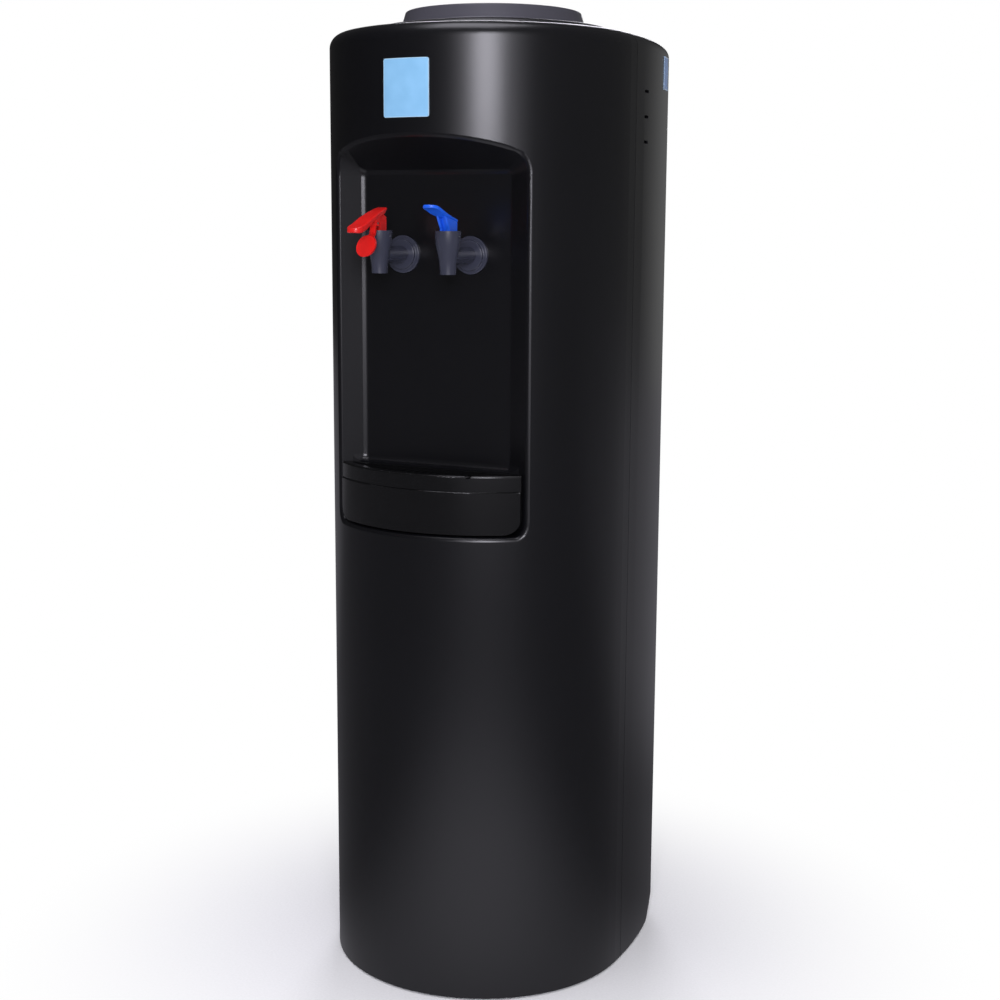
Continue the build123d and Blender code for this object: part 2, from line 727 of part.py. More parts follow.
# Cold tank: deep-drawn steel cup with a spigot for the cold tap
spigot_radius = tap_bore_radius - shaft_gap
with BuildPart() as cold_tank:
    add(filled_can(cold_tank_radius, cold_tank_bottom, cold_tank_height + tank_corner, tank_corner))
    with BuildSketch(Plane.XZ.offset(spigot_reach - collar_y)):
        with Locations((tap_places["cold"], tap_height)):
            Circle(spigot_radius)
    extrude(amount=-spigot_reach / 2)
    add(filled_can(cold_tank_radius - tank_wall, cold_tank_bottom + tank_wall,
                   cold_tank_height + 2 * tank_corner, tank_corner - tank_wall), mode=Mode.SUBTRACT)
    with BuildSketch(Plane.XZ.offset(spigot_reach - collar_y)):
        with Locations((tap_places["cold"], tap_height)):
            Circle(spigot_radius - tank_wall)
    extrude(amount=-spigot_reach / 2, mode=Mode.SUBTRACT)
    with BuildSketch(Plane.XY.offset(cold_tank_bottom)):
        with Locations((0, collar_y)):
            Circle(feed_radius + shaft_gap)
    extrude(amount=2 * tank_wall, mode=Mode.SUBTRACT)
    with BuildSketch(Plane.XY.offset(cold_tank_top)):
        Rectangle(body_width, body_width)
    extrude(amount=2 * tank_corner, mode=Mode.SUBTRACT)
cold_tank.part.label = "cold_tank"
export_step(cold_tank.part, "parts/cold_tank.step")

# Tank lid: moulded cover with a well for the guard's neck
with BuildPart() as cold_tank_lid:
    with BuildSketch(Plane.XY.offset(cold_tank_top)):
        with Locations((0, collar_y)):
            Circle(cold_insulation_radius)
            Circle(neck_radius + guard_wall + touch_gap, mode=Mode.SUBTRACT)
    extrude(amount=lid_thickness)
    chamfer(cold_tank_lid.edges().group_by(Axis.Z)[-1].sort_by(SortBy.LENGTH)[-1], lid_thickness / 4)
cold_tank_lid.part.label = "cold_tank_lid"
export_step(cold_tank_lid.part, "parts/cold_tank_lid.step")

# Neck gasket: rubber ring between the lid and the guard's neck
with BuildPart() as neck_gasket:
    with BuildSketch(tank_section):
        with Locations((neck_radius + guard_wall + touch_gap + gasket_width / 2,
                        cold_tank_top + lid_thickness + gasket_height / 2)):
            RectangleRounded(gasket_width, gasket_height, 0.3 * gasket_height)
    revolve(axis=tank_axis)
neck_gasket.part.label = "neck_gasket"
export_step(neck_gasket.part, "parts/neck_gasket.step")

# Separator baffle: disc on the feed pipe's top that keeps warm water above the cold
baffle_z = cold_tank_bottom + baffle_height
with BuildPart() as separator_baffle:
    with BuildSketch(Plane.XY.offset(baffle_z)):
        with Locations((0, collar_y)):
            Circle(baffle_radius)
            Circle(feed_radius + shaft_gap, mode=Mode.SUBTRACT)
            with PolarLocations(baffle_radius - 3 * baffle_thickness, baffle_holes):
                Circle(baffle_thickness, mode=Mode.SUBTRACT)
    extrude(amount=baffle_thickness)
    with BuildSketch(Plane.XY.offset(baffle_z - 3 * baffle_thickness)):
        with Locations((0, collar_y)):
            Circle(feed_radius + baffle_thickness)
            Circle(feed_radius + shaft_gap, mode=Mode.SUBTRACT)
    extrude(amount=3 * baffle_thickness)
separator_baffle.part.label = "separator_baffle"
export_step(separator_baffle.part, "parts/separator_baffle.step")

# Evaporator coil: its close turns round the cold tank, as one ribbed sleeve
coil_radius = cold_tank_radius + touch_gap + coil_tube_radius
with BuildPart() as evaporator_coil:
    with BuildSketch(tank_section):
        with Locations((coil_radius - coil_tube_radius / 2, coil_bottom)):
            Rectangle(coil_tube_radius, coil_pitch * (coil_turns - 1), align=(Align.CENTER, Align.MIN))
        with Locations(*[(coil_radius, coil_bottom + turn * coil_pitch) for turn in range(coil_turns)]):
            Circle(coil_tube_radius)
    revolve(axis=tank_axis)
evaporator_coil.part.label = "evaporator_coil"
export_step(evaporator_coil.part, "parts/evaporator_coil.step")

# Cold insulation: foam bucket round the tank and its coil
insulation_bore = coil_radius + coil_tube_radius + touch_gap
with BuildPart() as cold_insulation:
    with BuildSketch(Plane.XY.offset(cold_shelf_top)):
        with Locations((0, collar_y)):
            Circle(cold_insulation_radius)
    extrude(amount=cold_tank_top - cold_shelf_top)
    with BuildSketch(Plane.XY.offset(cold_tank_bottom)):
        with Locations((0, collar_y)):
            Circle(insulation_bore)
    extrude(amount=cold_tank_height, mode=Mode.SUBTRACT)
    with BuildSketch(Plane.XY.offset(cold_shelf_top)):
        with Locations((0, collar_y)):
            Circle(feed_radius + touch_gap)
    extrude(amount=insulation_floor, mode=Mode.SUBTRACT)
    with BuildSketch(Plane.XZ.offset(-collar_y)):
        with Locations((tap_places["cold"], tap_height)):
            Circle(sleeve_radius + touch_gap)
    extrude(amount=body_width / 2, mode=Mode.SUBTRACT)
    with BuildSketch(Plane.XZ.offset(-collar_y)):
        with Locations((suction_x, suction_z)):
            Circle(line_radius + touch_gap)
        with Locations((capillary_x, suction_z)):
            Circle(capillary_radius + touch_gap)
    extrude(amount=-body_width / 2, mode=Mode.SUBTRACT)
cold_insulation.part.label = "cold_insulation"
export_step(cold_insulation.part, "parts/cold_insulation.step")

# Cold outlet sleeve: silicone tube from the tank's spigot to the cold tap's shank
shank_end_y = panel_y + tap_shank_length
sleeve_length = collar_y - sqrt(cold_tank_radius**2 - tap_places["cold"]**2) - sleeve_gap - shank_end_y
with BuildPart() as cold_outlet_sleeve:
    with BuildSketch(Plane.XZ.offset(-shank_end_y)):
        with Locations((tap_places["cold"], tap_height)):
            Circle(sleeve_radius)
            Circle(tap_bore_radius, mode=Mode.SUBTRACT)
    extrude(amount=-sleeve_length)
cold_outlet_sleeve.part.label = "cold_outlet_sleeve"
export_step(cold_outlet_sleeve.part, "parts/cold_outlet_sleeve.step")

# ---------------------------------------------------------------- shelves, hot side

# Shelves: folded sheet that carries the tanks from the rear panel
shelf_tops = {"hot_tank_shelf": hot_shelf_top, "cold_tank_shelf": cold_shelf_top}
for name, top in shelf_tops.items():
    with BuildPart() as shelf:
        with BuildSketch(Plane.XZ.offset(-rear_panel_y)):
            with Locations((0, top)):
                Rectangle(2 * shelf_half_width, shelf_lip, align=(Align.CENTER, Align.MAX))
            with Locations((0, top - sheet)):
                Rectangle(2 * (shelf_half_width - sheet), shelf_lip, align=(Align.CENTER, Align.MAX),
                          mode=Mode.SUBTRACT)
        extrude(amount=rear_panel_y - shelf_front_y)
        with BuildSketch(Plane.XZ.offset(-rear_panel_y)):
            with Locations((0, top)):
                Rectangle(2 * (shelf_half_width - 2 * sheet), shelf_lip, align=(Align.CENTER, Align.MAX))
        extrude(amount=sheet)
        with BuildSketch(Plane.XY.offset(top - 2 * shelf_lip)):
            with Locations((0, collar_y)):
                Circle(shelf_hole_radius)
            with Locations((suction_x, suction_run_y)):
                Circle(2 * line_radius)
        extrude(amount=3 * shelf_lip, mode=Mode.SUBTRACT)
    shelf.part.label = name
    export_step(shelf.part, f"parts/{name}.step")

# Hot tank: closed steel can with a hose tail on top and a drain tail below
with BuildPart() as hot_tank:
    add(filled_can(hot_tank_radius, hot_tank_bottom, hot_tank_height, tank_corner))
    add(filled_can(hot_tank_radius - tank_wall, hot_tank_bottom + tank_wall,
                   hot_tank_height - 2 * tank_wall, tank_corner - tank_wall), mode=Mode.SUBTRACT)
    with BuildSketch(Plane.XY.offset(hot_tank_top - 2 * tank_wall)):
        with Locations((0, collar_y)):
            Circle(feed_radius + shaft_gap)
    extrude(amount=3 * tank_wall, mode=Mode.SUBTRACT)
    with BuildSketch(Plane.XY.offset(hot_tank_top - tank_wall)):
        with Locations((tap_places["hot"], hose_rise_y)):
            Circle(hose_radius - 1)
    extrude(amount=tail_height + tank_wall)
    with BuildSketch(Plane.XY.offset(hot_tank_bottom - tail_height)):
        with Locations((0, collar_y)):
            Circle(drain_hose_radius - 1)
    extrude(amount=tail_height + tank_wall)
    with BuildSketch(Plane.XY.offset(hot_tank_top - 2 * tank_wall)):
        with Locations((tap_places["hot"], hose_rise_y)):
            Circle(hose_radius - 2)
    extrude(amount=2 * tail_height, mode=Mode.SUBTRACT)
    with BuildSketch(Plane.XY.offset(hot_tank_bottom + 2 * tank_wall)):
        with Locations((0, collar_y)):
            Circle(drain_hose_radius - 2)
    extrude(amount=-2 * tail_height, mode=Mode.SUBTRACT)
hot_tank.part.label = "hot_tank"
export_step(hot_tank.part, "parts/hot_tank.step")

# Band heater: clamped round the foot of the hot tank, with its terminal lug
with BuildPart() as band_heater:
    with BuildSketch(Plane.XY.offset(hot_tank_bottom + heater_rise)):
        with Locations((0, collar_y)):
            Circle(hot_tank_radius + touch_gap + heater_thickness)
            Circle(hot_tank_radius + touch_gap, mode=Mode.SUBTRACT)
        with Locations((0, collar_y - hot_tank_radius)):
            Rectangle(heater_thickness / 2, 4 * heater_thickness, mode=Mode.SUBTRACT)
    extrude(amount=heater_height)
band_heater.part.label = "band_heater"
export_step(band_heater.part, "parts/band_heater.step")

# Thermal cut-outs: two bimetal discs on the hot tank's back
with BuildPart() as thermal_cutouts:
    for angle in cutout_angles:
        radial = Plane(origin=(hot_tank_radius * cos(radians(angle)),
                               collar_y + hot_tank_radius * sin(radians(angle)),
                               hot_tank_bottom + cutout_rise),
                       z_dir=(cos(radians(angle)), sin(radians(angle)), 0))
        with BuildSketch(radial.offset(touch_gap)):
            Circle(cutout_radius)
        extrude(amount=cutout_height)
        with BuildSketch(radial.offset(touch_gap + cutout_height)):
            Circle(cutout_radius / 2)
        extrude(amount=cutout_height / 4)
thermal_cutouts.part.label = "thermal_cutouts"
export_step(thermal_cutouts.part, "parts/thermal_cutouts.step")

# Hot insulation: foam jacket on the hot shelf
hot_bore = hot_tank_radius + touch_gap + cutout_height * 1.25 + 1
with BuildPart() as hot_insulation:
    with BuildSketch(Plane.XY.offset(hot_shelf_top)):
        with Locations((0, collar_y)):
            Circle(hot_insulation_radius)
    extrude(amount=hot_tank_top + hot_insulation_floor - hot_shelf_top)
    with BuildSketch(Plane.XY.offset(hot_tank_bottom)):
        with Locations((0, collar_y)):
            Circle(hot_bore)
    extrude(amount=hot_tank_height, mode=Mode.SUBTRACT)
    with BuildSketch(Plane.XY.offset(hot_shelf_top)):
        with Locations((0, collar_y)):
            Circle(drain_hose_radius + touch_gap)
    extrude(amount=hot_insulation_floor, mode=Mode.SUBTRACT)
    with BuildSketch(Plane.XY.offset(hot_tank_top)):
        with Locations((0, collar_y)):
            Circle(feed_radius + touch_gap)
        with Locations((tap_places["hot"], hose_rise_y)):
            Circle(hose_radius + touch_gap)
    extrude(amount=hot_insulation_floor, mode=Mode.SUBTRACT)
hot_insulation.part.label = "hot_insulation"
export_step(hot_insulation.part, "parts/hot_insulation.step")

# Feed pipe: leads water from above the baffle down into the hot tank
with BuildPart() as feed_pipe:
    with BuildSketch(Plane.XY.offset(hot_tank_bottom + heater_rise)):
        with Locations((0, collar_y)):
            Circle(feed_radius)
            Circle(feed_radius - tank_wall, mode=Mode.SUBTRACT)
    extrude(amount=baffle_z + 2 * baffle_thickness - hot_tank_bottom - heater_rise)
feed_pipe.part.label = "feed_pipe"
export_step(feed_pipe.part, "parts/feed_pipe.step")

# ---------------------------------------------------------------- taps
# Both taps are the same moulding; the hot one has a safety tongue under its lever.

pin_z = tap_height + lever_pin_rise
barrel_floor = tap_height + barrel_floor_rise
cup_bore = plunger_cup_radius + cup_bore_gap
rod_top = pin_z - cheek_drop - plunger_lift - plunger_slack


def tap_plane(x):
    """Plane across a barrel's axis: its own X runs backwards, its own Y runs up from the pin."""
    return Plane(origin=(x, barrel_y, pin_z), x_dir=(0, 1, 0), z_dir=(1, 0, 0))


for name, tap_x in tap_places.items():
    barrel_axis = Axis((tap_x, barrel_y, 0), (0, 0, 1))
    barrel_section = Plane(origin=(tap_x, barrel_y, 0), x_dir=(1, 0, 0), z_dir=(0, -1, 0))
    stem_plane = Plane(origin=(tap_x, panel_y, tap_height), x_dir=(1, 0, 0), z_dir=(0, -1, 0))

    # Tap body: barrel with nozzle, stem, stepped flange and the shank through the panel
    with BuildPart() as tap_body:
        with BuildSketch(barrel_section):
            with BuildLine():
                shoulder_z = tap_height + barrel_shoulder_rise
                barrel_top = tap_height + barrel_top_rise
                nozzle_z = tap_height - barrel_bottom_drop
                waist = ((nozzle_radius + barrel_top_radius) / 2, (nozzle_z + barrel_top) / 2)
                TangentArc((nozzle_radius, nozzle_z), waist, tangent=(0, 1))
                TangentArc((barrel_top_radius, barrel_top), waist, tangent=(0, -1))
                Polyline((barrel_top_radius, barrel_top), (0, barrel_top), (0, nozzle_z), (nozzle_radius, nozzle_z))
            make_face()
        revolve(axis=barrel_axis)
        with BuildSketch(stem_plane):
            Circle(tap_stem_radius)
        extrude(amount=tap_reach)
        with BuildSketch(stem_plane):
            Circle(tap_flange_radius)
        extrude(amount=tap_flange_thickness)
        with BuildSketch(stem_plane):
            Circle(tap_boss_radius)
        extrude(amount=tap_boss_thickness)
        steps = tap_body.edges().filter_by(GeomType.CIRCLE)
        fillet(steps.filter_by(lambda edge: edge.radius > tap_boss_radius - 0.1
                               and edge.center().Y < panel_y - 0.1), tap_flange_round)
        with BuildSketch(stem_plane):
            Circle(tap_shank_radius)
        extrude(amount=-tap_shank_length)
        # stepped bore: the cup's seat below, room for the lever's neck above
        with BuildSketch(barrel_section):
            with BuildLine():
                Polyline((0, barrel_floor), (cup_bore, barrel_floor), (cup_bore, shoulder_z),
                         (barrel_bore_radius, shoulder_z + barrel_bore_taper), (barrel_bore_radius, body_top),
                         (0, body_top), close=True)
            make_face()
        revolve(axis=barrel_axis, mode=Mode.SUBTRACT)
        # web that guides the rod and holds the spring down
        with BuildSketch(Plane.XY.offset(barrel_floor + plunger_cup_height + spring_height)):
            with Locations((tap_x, barrel_y)):
                Circle(barrel_bore_radius)
                Circle(plunger_radius + shaft_gap, mode=Mode.SUBTRACT)
        extrude(amount=rod_guide)
        with BuildSketch(Plane.XY.offset(barrel_floor)):
            with Locations((tap_x, barrel_y)):
                Circle(nozzle_bore_radius)
        extrude(amount=-2 * barrel_bottom_drop, mode=Mode.SUBTRACT)
        with BuildSketch(stem_plane.offset(-tap_shank_length)):
            Circle(tap_bore_radius)
        extrude(amount=tap_shank_length + tap_reach - nozzle_bore_radius, mode=Mode.SUBTRACT)
        with BuildSketch(tap_plane(tap_x)):
            Circle(lever_pin_radius)
        extrude(amount=barrel_top_radius + 1, both=True, mode=Mode.SUBTRACT)
    tap_body.part.label = f"{name}_tap_body"
    export_step(tap_body.part, f"parts/{name}_tap_body.step")

    # Plunger: rod with the soft cup that closes the nozzle
    with BuildPart() as plunger:
        with BuildSketch(Plane.XY.offset(barrel_floor)):
            with Locations((tap_x, barrel_y)):
                Circle(plunger_cup_radius)
        extrude(amount=plunger_cup_height)
        chamfer(plunger.edges().sort_by(Axis.Z)[0], plunger_cup_height / 4)
        with BuildSketch(Plane.XY.offset(barrel_floor + plunger_cup_height)):
            with Locations((tap_x, barrel_y)):
                Circle(plunger_radius)
        extrude(amount=rod_top - barrel_floor - plunger_cup_height)
    plunger.part.label = f"{name}_plunger"
    export_step(plunger.part, f"parts/{name}_plunger.step")

    # Tap spring: holds the cup down, its coils drawn as one tube
    with BuildPart() as tap_spring:
        with BuildSketch(Plane.XY.offset(barrel_floor + plunger_cup_height)):
            with Locations((tap_x, barrel_y)):
                Circle(spring_radius)
                Circle(spring_radius - spring_wire, mode=Mode.SUBTRACT)
        extrude(amount=spring_height)
    tap_spring.part.label = f"{name}_tap_spring"
    export_step(tap_spring.part, f"parts/{name}_tap_spring.step")

# Lever pins: one across each barrel, pressed into its walls
with BuildPart() as lever_pins:
    for tap_x in tap_places.values():
        with BuildSketch(tap_plane(tap_x)):
            Circle(lever_pin_radius)
        extrude(amount=lever_pin_half, both=True)
lever_pins.part.label = "lever_pins"
export_step(lever_pins.part, "parts/lever_pins.step")



def lever_blade(name, top, under, nose, rounding):
    """Blade between two smooth lines across the tap, cut to a round-nosed outline as seen from above."""
    back = top[0][0]
    half = lever_width / 2
    with BuildPart() as blade:
        with BuildSketch(tap_plane(tap_places[name])):
            with BuildLine():
                for line in (top, *under):
                    if len(line) > 3:
                        Spline(*line)
                    else:
                        Polyline(*line)
                Line(top[0], under[0][0])
                Line(top[-1], under[-1][-1])
            make_face()
        extrude(amount=lever_width, both=True)
        with BuildSketch(Plane(origin=(tap_places[name], barrel_y, pin_z))):
            with BuildLine():
                Polyline((-half, nose + half), (-half, lever_widens_at), (-lever_back_width / 2, back),
                         (lever_back_width / 2, back), (half, lever_widens_at), (half, nose + half))
                ThreePointArc((half, nose + half), (0, nose), (-half, nose + half))
            make_face()
        extrude(amount=2 * tap_reach, mode=Mode.INTERSECT)
        rims = blade.edges().filter_by(lambda edge: abs(edge.center().X - tap_places[name]) > lever_neck_width / 2
                                       and edge.center().Y < barrel_y + 0.8 * lever_widens_at)
        fillet(rims.filter_by(lambda edge: edge.tangent_at(0.5).Z**2 < 0.7), rounding)
    return blade.part


def lever_neck(name, cheek, web):
    """Two cheeks on the lever's pin, with a web between them above it."""
    plane = tap_plane(tap_places[name])
    inner = lever_neck_width / 2 - lever_cheek
    with BuildPart() as neck:
        for side in (-1, 1):
            with BuildSketch(plane.offset(side * inner)):
                Polygon(*cheek, align=None)
            extrude(amount=side * lever_cheek)
        with BuildSketch(plane):
            Polygon(*web, align=None)
        extrude(amount=inner, both=True)
        with BuildSketch(plane):
            Circle(lever_pin_radius + shaft_gap)
        extrude(amount=lever_width, both=True, mode=Mode.SUBTRACT)
    return neck.part


# Cold lever: blade that rises to a rounded crest, on a neck with two cheeks
with BuildPart() as cold_lever:
    add(lever_blade("cold", cold_top, (cold_under,), cold_nose, cold_lever_round))
    add(lever_neck("cold", cold_cheek, cold_web))
cold_lever.part.label = "cold_lever"
export_step(cold_lever.part, "parts/cold_lever.step")

# Hot lever: blade that falls to a thick round nose, with two ears for the safety tongue
ear_inner = tongue_width / 2 + touch_gap
tongue_plane = tap_plane(tap_places["hot"] + tongue_shift)
with BuildPart() as hot_lever:
    add(lever_blade("hot", hot_top, (hot_under_back, hot_under_nose), hot_nose, hot_lever_round))
    add(lever_neck("hot", hot_cheek, hot_web))
    for side in (-1, 1):
        with BuildSketch(tongue_plane.offset(side * ear_inner)):
            with BuildLine():
                ear_half = ear_tip * tongue_pin_radius
                Polyline((tongue_pin_y - ear_half, tongue_pin_rise), *hot_ear_top,
                         (tongue_pin_y + ear_half, tongue_pin_rise), close=True)
            make_face()
            with Locations((tongue_pin_y, tongue_pin_rise)):
                Circle(ear_half)
        extrude(amount=side * ear_thickness)
    with BuildSketch(tongue_plane):
        with Locations((tongue_pin_y, tongue_pin_rise)):
            Circle(tongue_pin_radius)
    extrude(amount=ear_inner + ear_thickness, both=True, mode=Mode.SUBTRACT)
hot_lever.part.label = "hot_lever"
export_step(hot_lever.part, "parts/hot_lever.step")

# Tongue pin: pressed into the hot lever's ears
with BuildPart() as tongue_pin:
    with BuildSketch(tongue_plane):
        with Locations((tongue_pin_y, tongue_pin_rise)):
            Circle(tongue_pin_radius)
    extrude(amount=ear_inner + ear_thickness, both=True)
tongue_pin.part.label = "tongue_pin"
export_step(tongue_pin.part, "parts/tongue_pin.step")

# Safety tongue: hangs on its pin under the hot lever, a strip with a round thumb disc
with BuildPart() as safety_tongue:
    with BuildSketch(tap_plane(tap_places["hot"])):
        with BuildLine():
            Polyline((tongue_pin_y - tongue_stem, tongue_pin_rise), *tongue_front, *tongue_back,
                     (tongue_pin_y + tongue_stem, tongue_pin_rise), close=True)
        make_face()
        with Locations((tongue_pin_y, tongue_pin_rise)):
            Circle(tongue_pin_radius + tongue_eye)
            Circle(tongue_pin_radius + shaft_gap, mode=Mode.SUBTRACT)
    extrude(amount=tongue_disc_radius, both=True)
    with BuildSketch(Plane(origin=(tap_places["hot"], barrel_y, pin_z), x_dir=(1, 0, 0), z_dir=(0, -1, 0))):
        with Locations((0, -disc_drop)):
            Circle(tongue_disc_radius)
        with Locations((tongue_shift, -disc_drop)):
            Rectangle(tongue_width, disc_drop + 2 * tongue_pin_rise, align=(Align.CENTER, Align.MIN))
    extrude(amount=tap_reach, both=True, mode=Mode.INTERSECT)
safety_tongue.part.label = "safety_tongue"
export_step(safety_tongue.part, "parts/safety_tongue.step")

# Tap nuts and washers behind the panel
with BuildPart() as tap_nuts:
    for tap_x in tap_places.values():
        with BuildSketch(Plane.XZ.offset(-panel_back - tap_washer_thickness)):
            with Locations((tap_x, tap_height)):
                RegularPolygon(tap_nut_radius, 6)
                Circle(tap_shank_radius + thread_gap, mode=Mode.SUBTRACT)
        extrude(amount=-tap_nut_thickness)
tap_nuts.part.label = "tap_nuts"
export_step(tap_nuts.part, "parts/tap_nuts.step")

with BuildPart() as tap_washers:
    for tap_x in tap_places.values():
        with BuildSketch(Plane.XZ.offset(-panel_back)):
            with Locations((tap_x, tap_height)):
                Circle(tap_nut_radius)
                Circle(tap_shank_radius + thread_gap, mode=Mode.SUBTRACT)
        extrude(amount=-tap_washer_thickness)
tap_washers.part.label = "tap_washers"
export_step(tap_washers.part, "parts/tap_washers.step")

# ---------------------------------------------------------------- drip tray and grille

tray_bottom = opening_bottom + tray_floor_gap
tray_top = rim_top - grille_plate


def tray_plan(front_inset, shrink=0.0, edge_x=tray_edge_x):
    """Tray outline from above: straight back, ends beside the alcove's walls, round front."""
    rear = panel_y - shelf_depth - tray_clearance - shrink
    rear_half = panel_half_width + alcove_flare * (panel_y - rear)
    rear_half -= (tray_clearance + shrink) * sqrt(1 + alcove_flare**2)
    edge = edge_x - shrink
    corner_y = rear - (edge - rear_half) / alcove_flare
    with BuildSketch() as plan:
        with BuildLine():
            Polyline((-rear_half, rear), (rear_half, rear), (edge, corner_y), (edge, mouth_y),
                     (-edge, mouth_y), (-edge, corner_y), close=True)
        make_face()
        Circle(front_radius - front_inset - shrink, mode=Mode.INTERSECT)
    return plan.sketch


def tray_block(front_inset, bottom, top, shrink=0.0):
    """Solid block on the tray's outline, its lower ends rounded as seen from the front."""
    with BuildPart() as block:
        with BuildSketch(Plane.XY.offset(bottom)):
            add(tray_plan(front_inset, shrink, tray_edge_x + grille_rim))
        extrude(amount=top - bottom)
        with BuildSketch(Plane.XZ.offset(-panel_y)):
            with Locations((0, tray_bottom + shrink)):
                RectangleRounded(2 * (tray_edge_x - shrink), 2 * (rim_top - tray_bottom), tray_corner_radius - shrink,
                                 align=(Align.CENTER, Align.MIN))
        extrude(amount=front_radius, mode=Mode.INTERSECT)
    return block.part


# Drip tray: thin-walled trough that slides in under the ledge
with BuildPart() as drip_tray:
    add(tray_block(tray_front_inset, tray_bottom, band_bottom - touch_gap))
    brow = drip_tray.edges().filter_by(GeomType.CIRCLE)
    brow = brow.filter_by(lambda edge: abs(edge.radius - front_radius + tray_front_inset) < 0.01)
    fillet(brow.sort_by(Axis.Z)[-1], tray_edge_radius)
    add(tray_block(band_front_inset + band_wall + touch_gap, tray_bottom, tray_top))
    add(tray_block(band_front_inset + band_wall + touch_gap, tray_bottom + tray_wall, rim_top, tray_wall),
        mode=Mode.SUBTRACT)
drip_tray.part.label = "drip_tray"
export_step(drip_tray.part, "parts/drip_tray.step")

# Drip grille: slotted insert with a raised rim and a front band that hangs over the tray
recess_z = rim_top - grille_recess
with BuildPart() as drip_grille:
    with BuildSketch(Plane.XY.offset(tray_top)):
        add(tray_plan(band_front_inset))
    extrude(amount=grille_plate)
    with BuildSketch(Plane.XY.offset(recess_z)):
        add(tray_plan(band_front_inset, grille_rim))
    extrude(amount=grille_plate, mode=Mode.SUBTRACT)
    with BuildSketch(Plane.XY.offset(recess_z - grille_plate)):
        add(tray_plan(band_front_inset, grille_rim - tray_wall / 2))
    extrude(amount=grille_plate)
    # front band
    with BuildSketch(Plane.XY.offset(band_bottom)):
        add(tray_plan(band_front_inset))
        Circle(front_radius - band_front_inset - band_wall, mode=Mode.SUBTRACT)
    extrude(amount=rim_top - band_bottom)
    # slots that run from front to back
    slot_count = 2 * int((tray_edge_x - 2 * grille_rim) / grille_slot_pitch) + 1
    slot_depth = front_radius + panel_y
    with BuildSketch(Plane.XY.offset(recess_z - 2 * grille_plate)):
        with Locations((0, panel_y - slot_depth / 2)):
            with GridLocations(grille_slot_pitch, slot_depth, slot_count, 1):
                Rectangle(grille_slot_width, slot_depth)
        add(tray_plan(band_front_inset, 1.3 * grille_rim), mode=Mode.INTERSECT)
    extrude(amount=3 * grille_plate, mode=Mode.SUBTRACT)
    # soft edge along the band's top
    band_edges = drip_grille.edges().filter_by(GeomType.CIRCLE)
    band_edges = band_edges.filter_by(lambda edge: abs(edge.radius - front_radius + band_front_inset) < 0.01)
    fillet(band_edges.filter_by(lambda edge: abs(edge.center().Z - rim_top) < 0.01), rim_edge_radius)
    # finger notch in the rim
    with BuildSketch(Plane.XZ.offset(front_radius)):
        with Locations((notch_x, rim_top)):
            Circle(notch_radius)
    extrude(amount=-(front_radius + panel_y) / 2 - 2 * notch_radius, mode=Mode.SUBTRACT)
drip_grille.part.label = "drip_grille"
export_step(drip_grille.part, "parts/drip_grille.step")

# ---------------------------------------------------------------- hoses and drain

# Hot outlet hose: from the hot tap's shank round the cold tank's shelf down to the hot tank
hose_drop_y = shank_end_y + hose_drop_run
with BuildPart() as hot_outlet_hose:
    with BuildLine() as hose_path:
        hot_x = tap_places["hot"]
        FilletPolyline((hot_x, shank_end_y, tap_height), (hot_x, hose_drop_y, tap_height),
                       (hot_x, hose_drop_y, hose_run_z), (hot_x, hose_rise_y, hose_run_z),
                       (hot_x, hose_rise_y, hot_tank_top), radius=hose_bend)
    with BuildSketch(Plane(origin=hose_path.line @ 0, z_dir=hose_path.line % 0)):
        Circle(hose_radius)
        Circle(hose_radius - 1 + shaft_gap, mode=Mode.SUBTRACT)
    sweep()
hot_outlet_hose.part.label = "hot_outlet_hose"
export_step(hot_outlet_hose.part, "parts/hot_outlet_hose.step")

# Drain hose: from the hot tank's lower tail to the drain fitting
panel_outside = rear_panel_y + sheet
fitting_start = rear_panel_y - 6.0
with BuildPart() as drain_hose:
    with BuildLine() as hose_path:
        FilletPolyline((0, collar_y, hot_tank_bottom), (0, collar_y, service_z), (0, fitting_start, service_z),
                       radius=drain_bend)
    with BuildSketch(Plane(origin=hose_path.line @ 0, z_dir=hose_path.line % 0)):
        Circle(drain_hose_radius)
        Circle(drain_hose_radius - 1 + shaft_gap, mode=Mode.SUBTRACT)
    sweep()
drain_hose.part.label = "drain_hose"
export_step(drain_hose.part, "parts/drain_hose.step")

# Drain fitting: tail for the hose, collar behind the panel, threaded nose outside
nose_end = panel_outside + drain_fitting_length
drain_axis = Axis((0, 0, service_z), (0, 1, 0))
with BuildPart() as drain_fitting:
    with BuildSketch(Plane.YZ):
        with BuildLine():
            tail_radius = drain_hose_radius - 1
            Polyline((fitting_start - 2 * tail_height, service_z + drain_bore_radius),
                     (fitting_start - 2 * tail_height, service_z + tail_radius),
                     (fitting_start, service_z + tail_radius), (fitting_start, service_z + drain_thread_radius),
                     (panel_outside, service_z + drain_thread_radius),
                     (panel_outside, service_z + drain_flange_radius),
                     (panel_outside + wall, service_z + drain_flange_radius),
                     (panel_outside + wall, service_z + drain_thread_radius),
                     (nose_end, service_z + drain_thread_radius), (nose_end, service_z + drain_bore_radius),
                     close=True)
        make_face()
    revolve(axis=drain_axis)
drain_fitting.part.label = "drain_fitting"
export_step(drain_fitting.part, "parts/drain_fitting.step")

